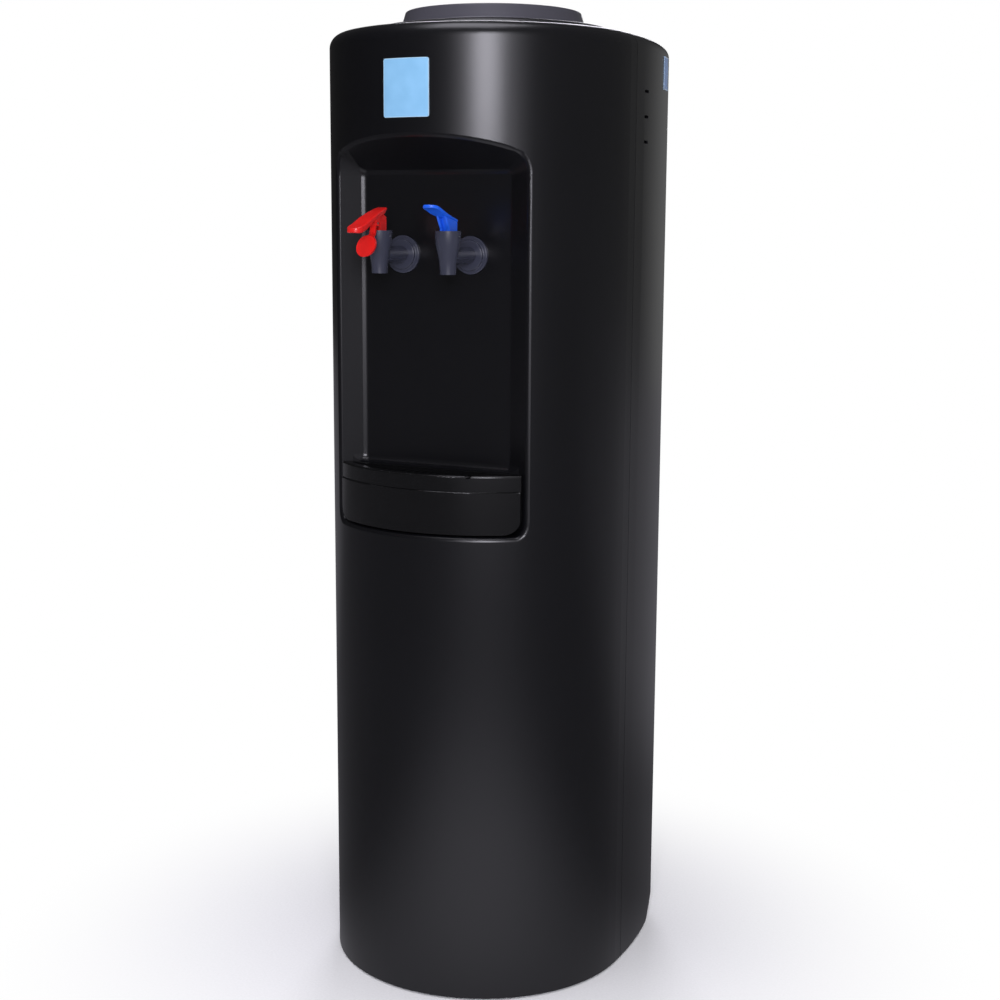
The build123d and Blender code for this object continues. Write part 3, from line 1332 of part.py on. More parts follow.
# Drain cap: ribbed cap on the fitting's nose
with BuildPart() as drain_cap:
    with BuildSketch(Plane.XZ.offset(-panel_outside - wall)):
        with Locations((0, service_z)):
            Circle(drain_cap_radius)
            with PolarLocations(drain_cap_radius, drain_cap_ribs):
                Circle(drain_cap_groove, mode=Mode.SUBTRACT)
    extrude(amount=-(drain_fitting_length - wall + touch_gap + drain_cap_end))
    with BuildSketch(Plane.XZ.offset(-panel_outside - wall)):
        with Locations((0, service_z)):
            Circle(drain_thread_radius + thread_gap)
    extrude(amount=-(drain_fitting_length - wall + touch_gap), mode=Mode.SUBTRACT)
drain_cap.part.label = "drain_cap"
export_step(drain_cap.part, "parts/drain_cap.step")

# ---------------------------------------------------------------- compressor

foot_z = pan_bottom + pan_sheet + grommet_height
body_z = foot_z + compressor_foot
compressor_top = body_z + compressor_height
foot_bolts = [(x, compressor_y + y) for x in (-compressor_foot_x, compressor_foot_x)
              for y in (-compressor_foot_y, compressor_foot_y)]
terminal_x = compressor_radius + terminal_reach
terminal_z = body_z + terminal_rise

# Compressor: welded steel shell on a foot plate, with its two tube stubs and the terminal block
with BuildPart() as compressor:
    with BuildSketch(Plane.XZ.offset(-compressor_y)):
        with BuildLine():
            side_top = compressor_top - compressor_dome
            Polyline((0, body_z), (compressor_radius - compressor_heel, body_z),
                     (compressor_radius, body_z + compressor_heel),
                     (compressor_radius, side_top))
            ThreePointArc((compressor_radius, side_top),
                          (0.72 * compressor_radius, side_top + 0.72 * compressor_dome), (0, compressor_top))
            Line((0, compressor_top), (0, body_z))
        make_face()
    revolve(axis=Axis((0, compressor_y, 0), (0, 0, 1)))
    with BuildSketch(Plane.XY.offset(side_top - compressor_heel)):
        with Locations((0, compressor_y)):
            Circle(compressor_radius + weld_lip)
    extrude(amount=weld_height)
    with BuildSketch(Plane.XY.offset(foot_z)):
        with Locations((0, compressor_y)):
            RectangleRounded(2 * (compressor_foot_x + foot_margin), 2 * (compressor_foot_y + foot_margin),
                             foot_margin - weld_lip)
        with Locations(*foot_bolts):
            Circle(bolt_radius + touch_gap, mode=Mode.SUBTRACT)
    extrude(amount=compressor_foot)
    with BuildSketch(Plane.XY.offset(compressor_top - compressor_dome)):
        with Locations((-stub_x, stub_y), (stub_x, stub_y)):
            Circle(stub_radius)
    extrude(amount=compressor_dome + stub_height)
    with BuildSketch(Plane.XY.offset(compressor_top + stub_height / 2)):
        with Locations((-stub_x, stub_y), (stub_x, stub_y)):
            Circle(line_radius + shaft_gap)
    extrude(amount=stub_height, mode=Mode.SUBTRACT)
    # hollow, with a wall thick enough to carry the motor's weight too
    with BuildSketch(Plane.XY.offset(body_z + compressor_wall)):
        with Locations((0, compressor_y)):
            Circle(compressor_radius - compressor_wall)
    extrude(amount=compressor_height - compressor_dome - 2 * compressor_wall, mode=Mode.SUBTRACT)
    with BuildSketch(Plane.YZ.offset(compressor_radius - compressor_wall / 2)):
        with Locations((compressor_y, terminal_z)):
            RectangleRounded(terminal_size, terminal_size, terminal_size / 7)
    extrude(amount=terminal_x - compressor_radius + compressor_wall / 2)
compressor.part.label = "compressor"
export_step(compressor.part, "parts/compressor.step")

# Relay cover: moulded box on the terminal block
with BuildPart() as relay_cover:
    with BuildSketch(Plane.YZ.offset(terminal_x)):
        with Locations((compressor_y, terminal_z)):
            RectangleRounded(relay_width, relay_height, relay_height / 10)
    extrude(amount=relay_length)
    fillet(relay_cover.faces().sort_by(Axis.X)[-1].edges(), wall)
relay_cover.part.label = "relay_cover"
export_step(relay_cover.part, "parts/relay_cover.step")

# Grommets: rubber rings between the pan and the foot plate
with BuildPart() as compressor_grommets:
    with BuildSketch(Plane.XY.offset(pan_bottom + pan_sheet)):
        with Locations(*foot_bolts):
            Circle(grommet_radius)
            Circle(bolt_radius + touch_gap, mode=Mode.SUBTRACT)
    extrude(amount=grommet_height)
    with BuildSketch(Plane.XY.offset(foot_z - (grommet_height + grommet_groove) / 2)):
        with Locations(*foot_bolts):
            Circle(2 * grommet_radius)
            Circle(grommet_radius - 0.75 * grommet_groove, mode=Mode.SUBTRACT)
    extrude(amount=grommet_groove, mode=Mode.SUBTRACT)
compressor_grommets.part.label = "compressor_grommets"
export_step(compressor_grommets.part, "parts/compressor_grommets.step")

# Compressor bolts: hexagon heads on the foot plate
with BuildPart() as compressor_bolts:
    with BuildSketch(Plane.XY.offset(body_z)):
        with Locations(*foot_bolts):
            RegularPolygon(bolt_head_radius, 6)
    extrude(amount=bolt_head_height)
    with BuildSketch(Plane.XY.offset(body_z)):
        with Locations(*foot_bolts):
            Circle(bolt_radius)
    extrude(amount=-(body_z - pan_bottom + bolt_tip))
compressor_bolts.part.label = "compressor_bolts"
export_step(compressor_bolts.part, "parts/compressor_bolts.step")

# ---------------------------------------------------------------- refrigeration tubes

coil_outer = coil_radius + coil_tube_radius
stub_seat_z = compressor_top + stub_height / 2
line_turn_z = compressor_top + stub_height + 2 * line_bend

# Suction line: from the evaporator coil down to the compressor
with BuildPart() as suction_line:
    with BuildLine() as line_path:
        suction_start = collar_y + sqrt(coil_outer**2 - (suction_x - line_radius)**2) + touch_gap
        FilletPolyline((suction_x, suction_start, suction_z), (suction_x, suction_run_y, suction_z),
                       (suction_x, suction_run_y, line_turn_z), (suction_x, stub_y, line_turn_z),
                       (suction_x, stub_y, stub_seat_z), radius=line_bend)
    with BuildSketch(Plane(origin=line_path.line @ 0, z_dir=line_path.line % 0)):
        Circle(line_radius)
    sweep()
suction_line.part.label = "suction_line"
export_step(suction_line.part, "parts/suction_line.step")

# Discharge line: from the compressor back and round to the condenser's lower end
discharge_x = condenser_half_width + discharge_side
with BuildPart() as discharge_line:
    with BuildLine() as line_path:
        FilletPolyline((-stub_x, stub_y, stub_seat_z), (-stub_x, stub_y, line_turn_z),
                       (-stub_x, condenser_y, line_turn_z), (-discharge_x, condenser_y, line_turn_z),
                       (-discharge_x, condenser_y, condenser_bottom),
                       (-condenser_half_width, condenser_y, condenser_bottom), radius=line_bend)
    with BuildSketch(Plane(origin=line_path.line @ 0, z_dir=line_path.line % 0)):
        Circle(line_radius)
    sweep()
discharge_line.part.label = "discharge_line"
export_step(discharge_line.part, "parts/discharge_line.step")

# Condenser tube: one tube bent to and fro, ending above the drier
with BuildPart() as condenser_tube:
    with BuildLine(Plane.XZ.offset(-condenser_y)) as line_path:
        turn_x = condenser_half_width - condenser_pitch / 2
        start = (-condenser_half_width, condenser_bottom)
        for run in range(condenser_runs):
            run_z = condenser_bottom + run * condenser_pitch
            side = 1 if run % 2 == 0 else -1
            if run < condenser_runs - 1:
                Line(start, (side * turn_x, run_z))
                ThreePointArc((side * turn_x, run_z), (side * condenser_half_width, run_z + condenser_pitch / 2),
                              (side * turn_x, run_z + condenser_pitch))
                start = (side * turn_x, run_z + condenser_pitch)
        Line(start, (drier_x + line_bend, condenser_top))
        bend_middle = line_bend * (1 - cos(radians(45)))
        ThreePointArc((drier_x + line_bend, condenser_top),
                      (drier_x + bend_middle, condenser_top - bend_middle),
                      (drier_x, condenser_top - line_bend))
        Line((drier_x, condenser_top - line_bend), (drier_x, condenser_top - drier_drop))
    with BuildSketch(Plane(origin=line_path.line @ 0, z_dir=line_path.line % 0)):
        Circle(condenser_tube_radius)
    sweep()
condenser_tube.part.label = "condenser_tube"
export_step(condenser_tube.part, "parts/condenser_tube.step")

# Condenser wires: upright wires welded across the tube's runs
wire_count = 2 * int(turn_x / wire_pitch) + 1
wire_y = condenser_y + condenser_tube_radius + wire_radius + wire_gap
with BuildPart() as condenser_wires:
    with BuildSketch(Plane.XY.offset(condenser_bottom - wire_overhang)):
        with Locations((0, wire_y)):
            with GridLocations(wire_pitch, 1, wire_count, 1):
                Circle(wire_radius)
    extrude(amount=condenser_top - condenser_bottom + 2 * wire_overhang)
condenser_wires.part.label = "condenser_wires"
export_step(condenser_wires.part, "parts/condenser_wires.step")

# Condenser brackets: two folded strips on the rear panel
bracket_depth = condenser_y - condenser_tube_radius - wire_gap - panel_outside
with BuildPart() as condenser_brackets:
    with BuildSketch(Plane.XY.offset(condenser_bottom - wire_overhang)):
        for side in (-1, 1):
            with Locations((side * bracket_x, panel_outside)):
                Rectangle(bracket_thickness, bracket_depth, align=(Align.CENTER, Align.MIN))
            with Locations((side * (bracket_x - (bracket_foot - bracket_thickness) / 2), panel_outside)):
                Rectangle(bracket_foot, bracket_thickness, align=(Align.CENTER, Align.MIN))
    extrude(amount=condenser_top - condenser_bottom + 2 * wire_overhang)
condenser_brackets.part.label = "condenser_brackets"
export_step(condenser_brackets.part, "parts/condenser_brackets.step")

# Filter drier: copper can with tapered ends, hung between the condenser and the capillary
drier_top = condenser_top - drier_drop
drier_bottom = drier_top - drier_length
with BuildPart() as filter_drier:
    with BuildSketch(Plane.XZ.offset(-condenser_y)):
        with BuildLine():
            Polyline((drier_x, drier_top), (drier_x + condenser_tube_radius + tube_end, drier_top),
                     (drier_x + drier_radius, drier_top - drier_radius),
                     (drier_x + drier_radius, drier_bottom + drier_radius),
                     (drier_x + capillary_radius + tube_end, drier_bottom), (drier_x, drier_bottom), close=True)
        make_face()
    revolve(axis=Axis((drier_x, condenser_y, 0), (0, 0, 1)))
filter_drier.part.label = "filter_drier"
export_step(filter_drier.part, "parts/filter_drier.step")

# Capillary tube: thin tube from the drier through the panel to the evaporator coil
with BuildPart() as capillary_tube:
    with BuildLine() as line_path:
        cross_z = drier_bottom - 3 * line_bend
        capillary_end = collar_y + sqrt(coil_outer**2 - (capillary_x + capillary_radius)**2) + touch_gap
        FilletPolyline((drier_x, condenser_y, drier_bottom), (drier_x, condenser_y, cross_z),
                       (drier_x, suction_run_y, cross_z), (capillary_x, suction_run_y, cross_z),
                       (capillary_x, suction_run_y, suction_z), (capillary_x, capillary_end, suction_z),
                       radius=line_bend)
    with BuildSketch(Plane(origin=line_path.line @ 0, z_dir=line_path.line % 0)):
        Circle(capillary_radius)
    sweep()
capillary_tube.part.label = "capillary_tube"
export_step(capillary_tube.part, "parts/capillary_tube.step")

# ---------------------------------------------------------------- switches, thermostat, gland

rocker_y = back_y - rocker_depth
rocker_places = {"hot": switch_x - rocker_spacing / 2, "cold": switch_x + rocker_spacing / 2}
switch_box_width = switch_plate_width - 4 * wall
switch_box_height = switch_plate_height - 2 * wall

# Switch plate: bezel on the back wall with a box behind it, one cell for each rocker
with BuildPart() as switch_plate:
    with BuildSketch(Plane.XZ.offset(-back_y)):
        with Locations((switch_x, switch_z)):
            RectangleRounded(switch_plate_width, switch_plate_height, 2 * switch_plate_thickness)
    extrude(amount=-switch_plate_thickness)
    with BuildSketch(Plane.XZ.offset(-back_y)):
        with Locations((switch_x, switch_z)):
            Rectangle(switch_box_width, switch_box_height)
    extrude(amount=switch_box_depth)
    for rocker_x in rocker_places.values():
        with BuildSketch(Plane.XZ.offset(-back_y - 2 * switch_plate_thickness)):
            with Locations((rocker_x, switch_z)):
                Rectangle(rocker_width + 2 * rocker_gap, rocker_window)
        extrude(amount=switch_plate_thickness * 3, mode=Mode.SUBTRACT)
        with BuildSketch(Plane.XZ.offset(-back_y)):
            with Locations((rocker_x, switch_z)):
                Rectangle(rocker_width + 2 * rocker_gap, switch_box_height - wall)
        extrude(amount=switch_box_depth - wall, mode=Mode.SUBTRACT)
        with BuildSketch(Plane(origin=(rocker_x, rocker_y, switch_z), x_dir=(0, 1, 0), z_dir=(1, 0, 0))):
            Circle(axle_radius + shaft_gap)
        extrude(amount=rocker_width / 2 + rocker_gap + axle_length, both=True, mode=Mode.SUBTRACT)
switch_plate.part.label = "switch_plate"
export_step(switch_plate.part, "parts/switch_plate.step")

# Rockers: one for the heater, one for the cooling, each on its own axle
for name, rocker_x in rocker_places.items():
    with BuildPart() as rocker:
        with BuildSketch(Plane(origin=(rocker_x, rocker_y, switch_z), x_dir=(0, 1, 0), z_dir=(1, 0, 0))):
            with BuildLine():
                high_z = sqrt(rocker_radius**2 - rocker_out_high**2)
                low_z = sqrt(rocker_radius**2 - rocker_out_low**2)
                shoulder_up = sqrt(rocker_radius**2 - rocker_shoulder**2)
                middle = (rocker_out_high + rocker_shoulder) / 2
                middle_low = (rocker_out_low + rocker_shoulder) / 2
                ThreePointArc((rocker_out_high, high_z), (middle, sqrt(rocker_radius**2 - middle**2)),
                              (rocker_shoulder, shoulder_up))
                Polyline((rocker_shoulder, shoulder_up), (-rocker_shoulder, shoulder_up - rocker_hollow),
                         (-rocker_shoulder, rocker_hollow - shoulder_up), (rocker_shoulder, -shoulder_up))
                ThreePointArc((rocker_shoulder, -shoulder_up), (middle_low, -sqrt(rocker_radius**2 - middle_low**2)),
                              (rocker_out_low, -low_z))
                Polyline((rocker_out_low, -low_z), (rocker_out_low + rocker_dish, 0), (rocker_out_high, high_z))
            make_face()
        extrude(amount=rocker_width / 2, both=True)
        with BuildSketch(Plane(origin=(rocker_x, rocker_y, switch_z), x_dir=(0, 1, 0), z_dir=(1, 0, 0))):
            Circle(axle_radius)
        extrude(amount=rocker_width / 2 + rocker_gap + axle_length - touch_gap, both=True)
    rocker.part.label = f"{name}_switch"
    export_step(rocker.part, f"parts/{name}_switch.step")

# Thermostat: box on the inside of the rear panel, its shaft reaches out
knob_start = panel_outside + knob_gap
with BuildPart() as thermostat:
    with BuildSketch(Plane.XZ.offset(-rear_panel_y)):
        with Locations((thermostat_x, service_z)):
            RectangleRounded(thermostat_size, thermostat_size, wall)
    extrude(amount=thermostat_depth)
    with BuildSketch(Plane.XZ.offset(-rear_panel_y)):
        with Locations((thermostat_x, service_z)):
            Circle(thermostat_shaft_radius)
    extrude(amount=-(sheet + knob_gap + knob_height / 2))
thermostat.part.label = "thermostat"
export_step(thermostat.part, "parts/thermostat.step")

# Thermostat knob: fluted, with a pointer rib on its face
with BuildPart() as thermostat_knob:
    with BuildSketch(Plane.XZ.offset(-knob_start)):
        with Locations((thermostat_x, service_z)):
            Circle(knob_radius)
            with PolarLocations(knob_radius, knob_flutes):
                Circle(knob_radius / 10, mode=Mode.SUBTRACT)
    extrude(amount=-knob_height)
    with BuildSketch(Plane.XZ.offset(-knob_start - knob_height)):
        with Locations((thermostat_x, service_z + knob_radius / 2)):
            RectangleRounded(pointer_width, knob_radius - pointer_width, pointer_width / 3)
    extrude(amount=-pointer_height)
    with BuildSketch(Plane.XZ.offset(-knob_start)):
        with Locations((thermostat_x, service_z)):
            Circle(thermostat_shaft_radius + shaft_gap)
    extrude(amount=-(knob_height / 2 + touch_gap), mode=Mode.SUBTRACT)
thermostat_knob.part.label = "thermostat_knob"
export_step(thermostat_knob.part, "parts/thermostat_knob.step")

# Cord gland: moulded bushing in the rear panel, open for a mains cord
with BuildPart() as cord_gland:
    with BuildSketch(Plane(origin=(gland_x, 0, 0), x_dir=(0, 1, 0), z_dir=(1, 0, 0))):
        with BuildLine():
            Polyline((rear_panel_y - gland_flange, service_z + gland_bore_radius),
                     (rear_panel_y - gland_flange, service_z + gland_nut_radius),
                     (rear_panel_y, service_z + gland_nut_radius),
                     (rear_panel_y, service_z + gland_thread), (panel_outside, service_z + gland_thread),
                     (panel_outside, service_z + gland_nut_radius),
                     (panel_outside + gland_flange, service_z + gland_nut_radius),
                     (panel_outside + gland_flange, service_z + gland_radius),
                     (panel_outside + gland_body_end, service_z + gland_radius),
                     (panel_outside + gland_nose_end, service_z + gland_bore_radius + gland_nose_wall),
                     (panel_outside + gland_nose_end, service_z + gland_bore_radius), close=True)
        make_face()
    revolve(axis=Axis((gland_x, 0, service_z), (0, 1, 0)))
cord_gland.part.label = "cord_gland"
export_step(cord_gland.part, "parts/cord_gland.step")

# Panel screws: hold the rear panel to the rear shell's ribs
rib_back = panel_outside + wall
with BuildPart() as panel_screws:
    for side in (-1, 1):
        with BuildSketch(Plane.XZ.offset(-rib_back)):
            with Locations(*[(side * screw_x, height) for height in screw_heights]):
                Circle(screw_head_radius)
        extrude(amount=-screw_head_height)
        with BuildSketch(Plane.XZ.offset(-rib_back)):
            with Locations(*[(side * screw_x, height) for height in screw_heights]):
                Circle(screw_radius)
        extrude(amount=wall + 3 * sheet)
        with BuildSketch(Plane.XZ.offset(-rib_back - screw_head_height)):
            with Locations(*[(side * screw_x, height) for height in screw_heights]):
                Rectangle(screw_head_radius, screw_head_height / 3)
                Rectangle(screw_head_height / 3, screw_head_radius)
        extrude(amount=screw_head_height / 2, mode=Mode.SUBTRACT)
panel_screws.part.label = "panel_screws"
export_step(panel_screws.part, "parts/panel_screws.step")

# ---------------------------------------------------------------- badge and label

# Front badge: thin bare plate that follows the round front
with BuildPart() as front_badge:
    with BuildSketch(Plane.XZ.offset(front_radius + 2 * badge_thickness)):
        with Locations((badge_x, badge_bottom + badge_height / 2)):
            RectangleRounded(badge_width, badge_height, badge_corner_radius)
    extrude(amount=-front_radius / 4)
    with BuildSketch(Plane.XY.offset(badge_bottom - 1)):
        Circle(front_radius + sticker_gap + badge_thickness)
        Circle(front_radius + sticker_gap, mode=Mode.SUBTRACT)
    extrude(amount=badge_height + 2, mode=Mode.INTERSECT)
front_badge.part.label = "front_badge"
export_step(front_badge.part, "parts/front_badge.step")

# Side label: bare sticker near the rear edge of the right side
with BuildPart() as side_label:
    with BuildSketch(Plane.XY.offset(side_label_bottom)):
        add(rear_plan(-sticker_gap - side_label_thickness))
        add(rear_plan(-sticker_gap), mode=Mode.SUBTRACT)
        with Locations((front_radius - side_label_length, side_label_front)):
            Rectangle(2 * side_label_length, side_label_length, align=(Align.CENTER, Align.MIN),
                      mode=Mode.INTERSECT)
    extrude(amount=side_label_height)
side_label.part.label = "side_label"
export_step(side_label.part, "parts/side_label.step")
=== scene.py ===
"""Free-standing water cooler for a bottle on top: finishes, fine pieces, studio and camera.

Metres, +Z up, the half-round front faces -Y, as in the frame.
"""
import math

import bmesh
import bpy
from mathutils import Matrix, Vector


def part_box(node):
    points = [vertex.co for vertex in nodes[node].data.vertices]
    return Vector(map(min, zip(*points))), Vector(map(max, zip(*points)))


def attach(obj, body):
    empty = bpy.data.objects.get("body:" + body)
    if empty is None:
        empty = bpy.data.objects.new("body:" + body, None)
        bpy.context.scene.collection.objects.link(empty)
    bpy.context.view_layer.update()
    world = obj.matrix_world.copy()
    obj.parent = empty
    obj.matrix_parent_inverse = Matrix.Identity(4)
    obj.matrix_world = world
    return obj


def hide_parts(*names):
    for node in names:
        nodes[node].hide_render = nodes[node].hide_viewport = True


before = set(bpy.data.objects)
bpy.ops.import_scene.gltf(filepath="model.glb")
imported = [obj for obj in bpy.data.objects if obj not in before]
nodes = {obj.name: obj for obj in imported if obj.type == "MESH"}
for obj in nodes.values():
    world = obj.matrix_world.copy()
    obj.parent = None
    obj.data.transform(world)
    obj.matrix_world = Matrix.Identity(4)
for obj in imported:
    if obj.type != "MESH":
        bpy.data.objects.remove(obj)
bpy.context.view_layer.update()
scene = bpy.context.scene
MM = 0.001


# ---------------------------------------------------------------- small helpers
def linear(hex_colour):
    """sRGB hex to the linear colour that shaders take."""
    channels = [int(hex_colour[i:i + 2], 16) / 255 for i in (1, 3, 5)]
    return tuple(c / 12.92 if c <= 0.04045 else ((c + 0.055) / 1.055) ** 2.4 for c in channels) + (1.0,)


def dimmed(hex_colour, share):
    """The linear colour with a share of its light left."""
    return tuple(channel * share for channel in linear(hex_colour)[:3]) + (1.0,)


def grey(value):
    """A grey as shaders take it."""
    return (value, value, value, 1.0)


def middle_of(low, high):
    """Middle of a box given by its two corners."""
    return tuple((near + far) / 2 for near, far in zip(low, high))


def add(tree, kind, values=None, links=None, stops=(), **settings):
    """Adds one node with its settings, socket values, incoming links and, on a ramp, its colour stops."""
    made = tree.nodes.new(kind)
    for name, value in settings.items():
        setattr(made, name, value)
    for key, value in (values or {}).items():
        made.inputs[key].default_value = value
    for key, source in (links or {}).items():
        tree.links.new(source, made.inputs[key])
    for number, (position, colour) in enumerate(stops):
        elements = made.color_ramp.elements
        stop = elements[number] if number < len(elements) else elements.new(position)
        stop.position = position
        stop.color = colour
    return made


def finish_of(name):
    """A new material with its shader, its output and the object's own coordinates."""
    material = bpy.data.materials.new(name)
    material.use_nodes = True
    tree = material.node_tree
    tree.nodes.clear()
    shader = add(tree, "ShaderNodeBsdfPrincipled")
    add(tree, "ShaderNodeOutputMaterial", links={"Surface": shader.outputs["BSDF"]})
    place = add(tree, "ShaderNodeTexCoord").outputs["Object"]
    return material, tree, shader, place


def shader_of(material):
    """The shader of a material that finish_of has made."""
    return next(node for node in material.node_tree.nodes if node.type == "BSDF_PRINCIPLED")


# ---------------------------------------------------------------- kinds of finish
PLASTIC_IOR = 1.49
FLOW_SCALE = 9.0          # slow changes across a moulding, about 11 cm each
CLOUD_SCALE = 30.0        # cloudiness of metal, about 3 cm each
INK_SCALE = 60.0          # unevenness of printed ink, about 17 mm each


def moulded(name, colour, roughness, grain_mm, grain_depth_mm, mottle=0.05, tint=0.12):
    """Moulded plastic: fine grain from the mould, slow changes of gloss, a little change of shade."""
    material, tree, shader, place = finish_of(name)
    grain = add(tree, "ShaderNodeTexNoise", {"Scale": 1 / (grain_mm * MM), "Detail": 2.0},
                {"Vector": place})
    flow = add(tree, "ShaderNodeTexNoise", {"Scale": FLOW_SCALE, "Detail": 3.0}, {"Vector": place})
    shade = add(tree, "ShaderNodeValToRGB", links={"Fac": flow.outputs["Fac"]},
                stops=[(0.35, linear(colour)), (0.7, dimmed(colour, 1 - tint))])
    gloss = add(tree, "ShaderNodeMapRange", {"To Min": roughness - mottle, "To Max": roughness + mottle},
                {"Value": flow.outputs["Fac"]})
    bump = add(tree, "ShaderNodeBump", {"Strength": 1.0, "Distance": grain_depth_mm * MM},
               {"Height": grain.outputs["Fac"]})
    tree.links.new(shade.outputs["Color"], shader.inputs["Base Color"])
    tree.links.new(gloss.outputs["Result"], shader.inputs["Roughness"])
    tree.links.new(bump.outputs["Normal"], shader.inputs["Normal"])
    shader.inputs["IOR"].default_value = PLASTIC_IOR
    return material


def drawn_metal(name, colour, roughness, stretch, line_mm, line_depth_mm=0.01):
    """Metal with drawing or brushing lines; stretch is the squeeze of the lines along each axis."""
    material, tree, shader, place = finish_of(name)
    mapping = add(tree, "ShaderNodeMapping", {"Scale": stretch}, {"Vector": place})
    lines = add(tree, "ShaderNodeTexNoise", {"Scale": 1 / (line_mm * MM), "Detail": 4.0},
                {"Vector": mapping.outputs["Vector"]})
    cloud = add(tree, "ShaderNodeTexNoise", {"Scale": CLOUD_SCALE, "Detail": 3.0}, {"Vector": place})
    shade = add(tree, "ShaderNodeValToRGB", links={"Fac": cloud.outputs["Fac"]},
                stops=[(0.3, dimmed(colour, 0.82)), (0.7, linear(colour))])
    gloss = add(tree, "ShaderNodeMapRange", {"To Min": roughness - 0.07, "To Max": roughness + 0.1},
                {"Value": lines.outputs["Fac"]})
    bump = add(tree, "ShaderNodeBump", {"Strength": 0.6, "Distance": line_depth_mm * MM},
               {"Height": lines.outputs["Fac"]})
    tree.links.new(shade.outputs["Color"], shader.inputs["Base Color"])
    tree.links.new(gloss.outputs["Result"], shader.inputs["Roughness"])
    tree.links.new(bump.outputs["Normal"], shader.inputs["Normal"])
    shader.inputs["Metallic"].default_value = 1.0
    return material


def spangled_sheet(name, crystal_mm):
    """Galvanised sheet: zinc crystals, each with its own brightness."""
    material, tree, shader, place = finish_of(name)
    cells = add(tree, "ShaderNodeTexVoronoi", {"Scale": 1 / (crystal_mm * MM), "Randomness": 1.0},
                {"Vector": place})
    level = add(tree, "ShaderNodeRGBToBW", links={"Color": cells.outputs["Color"]})
    shade = add(tree, "ShaderNodeValToRGB", links={"Fac": level.outputs["Val"]},
                stops=[(0.0, linear("#8E9397")), (1.0, linear("#B4B8BA"))])
    gloss = add(tree, "ShaderNodeMapRange", {"To Min": 0.32, "To Max": 0.5},
                {"Value": level.outputs["Val"]})
    tree.links.new(shade.outputs["Color"], shader.inputs["Base Color"])
    tree.links.new(gloss.outputs["Result"], shader.inputs["Roughness"])
    shader.inputs["Metallic"].default_value = 1.0
    return material


def bead_foam(name, bead_mm, joint_depth_mm):
    """Expanded polystyrene: pressed white beads with darker joints."""
    material, tree, shader, place = finish_of(name)
    cells = add(tree, "ShaderNodeTexVoronoi", {"Scale": 1 / (bead_mm * MM)}, {"Vector": place},
                feature="DISTANCE_TO_EDGE")
    shade = add(tree, "ShaderNodeValToRGB", links={"Fac": cells.outputs["Distance"]},
                stops=[(0.0, linear("#B9B7AE")), (0.12, linear("#E9E8E2"))])
    bump = add(tree, "ShaderNodeBump", {"Strength": 0.7, "Distance": joint_depth_mm * MM},
               {"Height": cells.outputs["Distance"]})
    tree.links.new(shade.outputs["Color"], shader.inputs["Base Color"])
    tree.links.new(bump.outputs["Normal"], shader.inputs["Normal"])
    shader.inputs["Roughness"].default_value = 0.75
    return material


def printed_plate(name, node, across, field, edge, edge_mm, roughness):
    """Bare printed plate: one colour with a lighter edge line, under a clear coat."""
    low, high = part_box(node)
    axis = "XY".index(across)
    material, tree, shader, place = finish_of(name)
    moved = add(tree, "ShaderNodeVectorMath", {1: middle_of(low, high)}, {0: place},
                operation="SUBTRACT")
    size = add(tree, "ShaderNodeVectorMath", links={0: moved.outputs["Vector"]}, operation="ABSOLUTE")
    parts = add(tree, "ShaderNodeSeparateXYZ", links={"Vector": size.outputs["Vector"]})
    in_width = add(tree, "ShaderNodeMath", {1: (high[axis] - low[axis]) / 2 - edge_mm * MM},
                   {0: parts.outputs[across]}, operation="LESS_THAN")
    in_height = add(tree, "ShaderNodeMath", {1: (high[2] - low[2]) / 2 - edge_mm * MM},
                    {0: parts.outputs["Z"]}, operation="LESS_THAN")
    inside = add(tree, "ShaderNodeMath", links={0: in_width.outputs[0], 1: in_height.outputs[0]},
                 operation="MULTIPLY")
    ink = add(tree, "ShaderNodeTexNoise", {"Scale": INK_SCALE, "Detail": 2.0}, {"Vector": place})
    print_shade = add(tree, "ShaderNodeValToRGB", links={"Fac": ink.outputs["Fac"]},
                      stops=[(0.3, linear(field[0])), (0.7, linear(field[1]))])
    mix = add(tree, "ShaderNodeMix", {6: linear(edge)},
              {0: inside.outputs[0], 7: print_shade.outputs["Color"]}, data_type="RGBA")
    tree.links.new(mix.outputs[2], shader.inputs["Base Color"])
    shader.inputs["Roughness"].default_value = roughness
    shader.inputs["Coat Weight"].default_value = 0.6
    shader.inputs["Coat Roughness"].default_value = 0.06
    return material


def dull_lining(material, radius, corner, top, roughness):
    """Makes a moulding dull inside a radius, left of a corner and below a height."""
    tree = material.node_tree
    shader = shader_of(material)
    gloss = shader.inputs["Roughness"].links[0].from_socket
    place = add(tree, "ShaderNodeTexCoord").outputs["Object"]
    parts = add(tree, "ShaderNodeSeparateXYZ", links={"Vector": place})
    level = add(tree, "ShaderNodeVectorMath", {1: (1, 1, 0)}, {0: place}, operation="MULTIPLY")
    reach = add(tree, "ShaderNodeVectorMath", links={0: level.outputs["Vector"]}, operation="LENGTH")
    inside = add(tree, "ShaderNodeMath", {1: radius}, {0: reach.outputs["Value"]}, operation="LESS_THAN")
    beside = add(tree, "ShaderNodeMath", {1: corner}, {0: parts.outputs["X"]}, operation="LESS_THAN")
    below = add(tree, "ShaderNodeMath", {1: top}, {0: parts.outputs["Z"]}, operation="LESS_THAN")
    side = add(tree, "ShaderNodeMath", links={0: inside.outputs[0], 1: beside.outputs[0]},
               operation="MULTIPLY")
    lining = add(tree, "ShaderNodeMath", links={0: side.outputs[0], 1: below.outputs[0]},
                 operation="MULTIPLY")
    mix = add(tree, "ShaderNodeMix", {3: roughness}, {0: lining.outputs[0], 2: gloss}, data_type="FLOAT")
    tree.links.new(mix.outputs[0], shader.inputs["Roughness"])


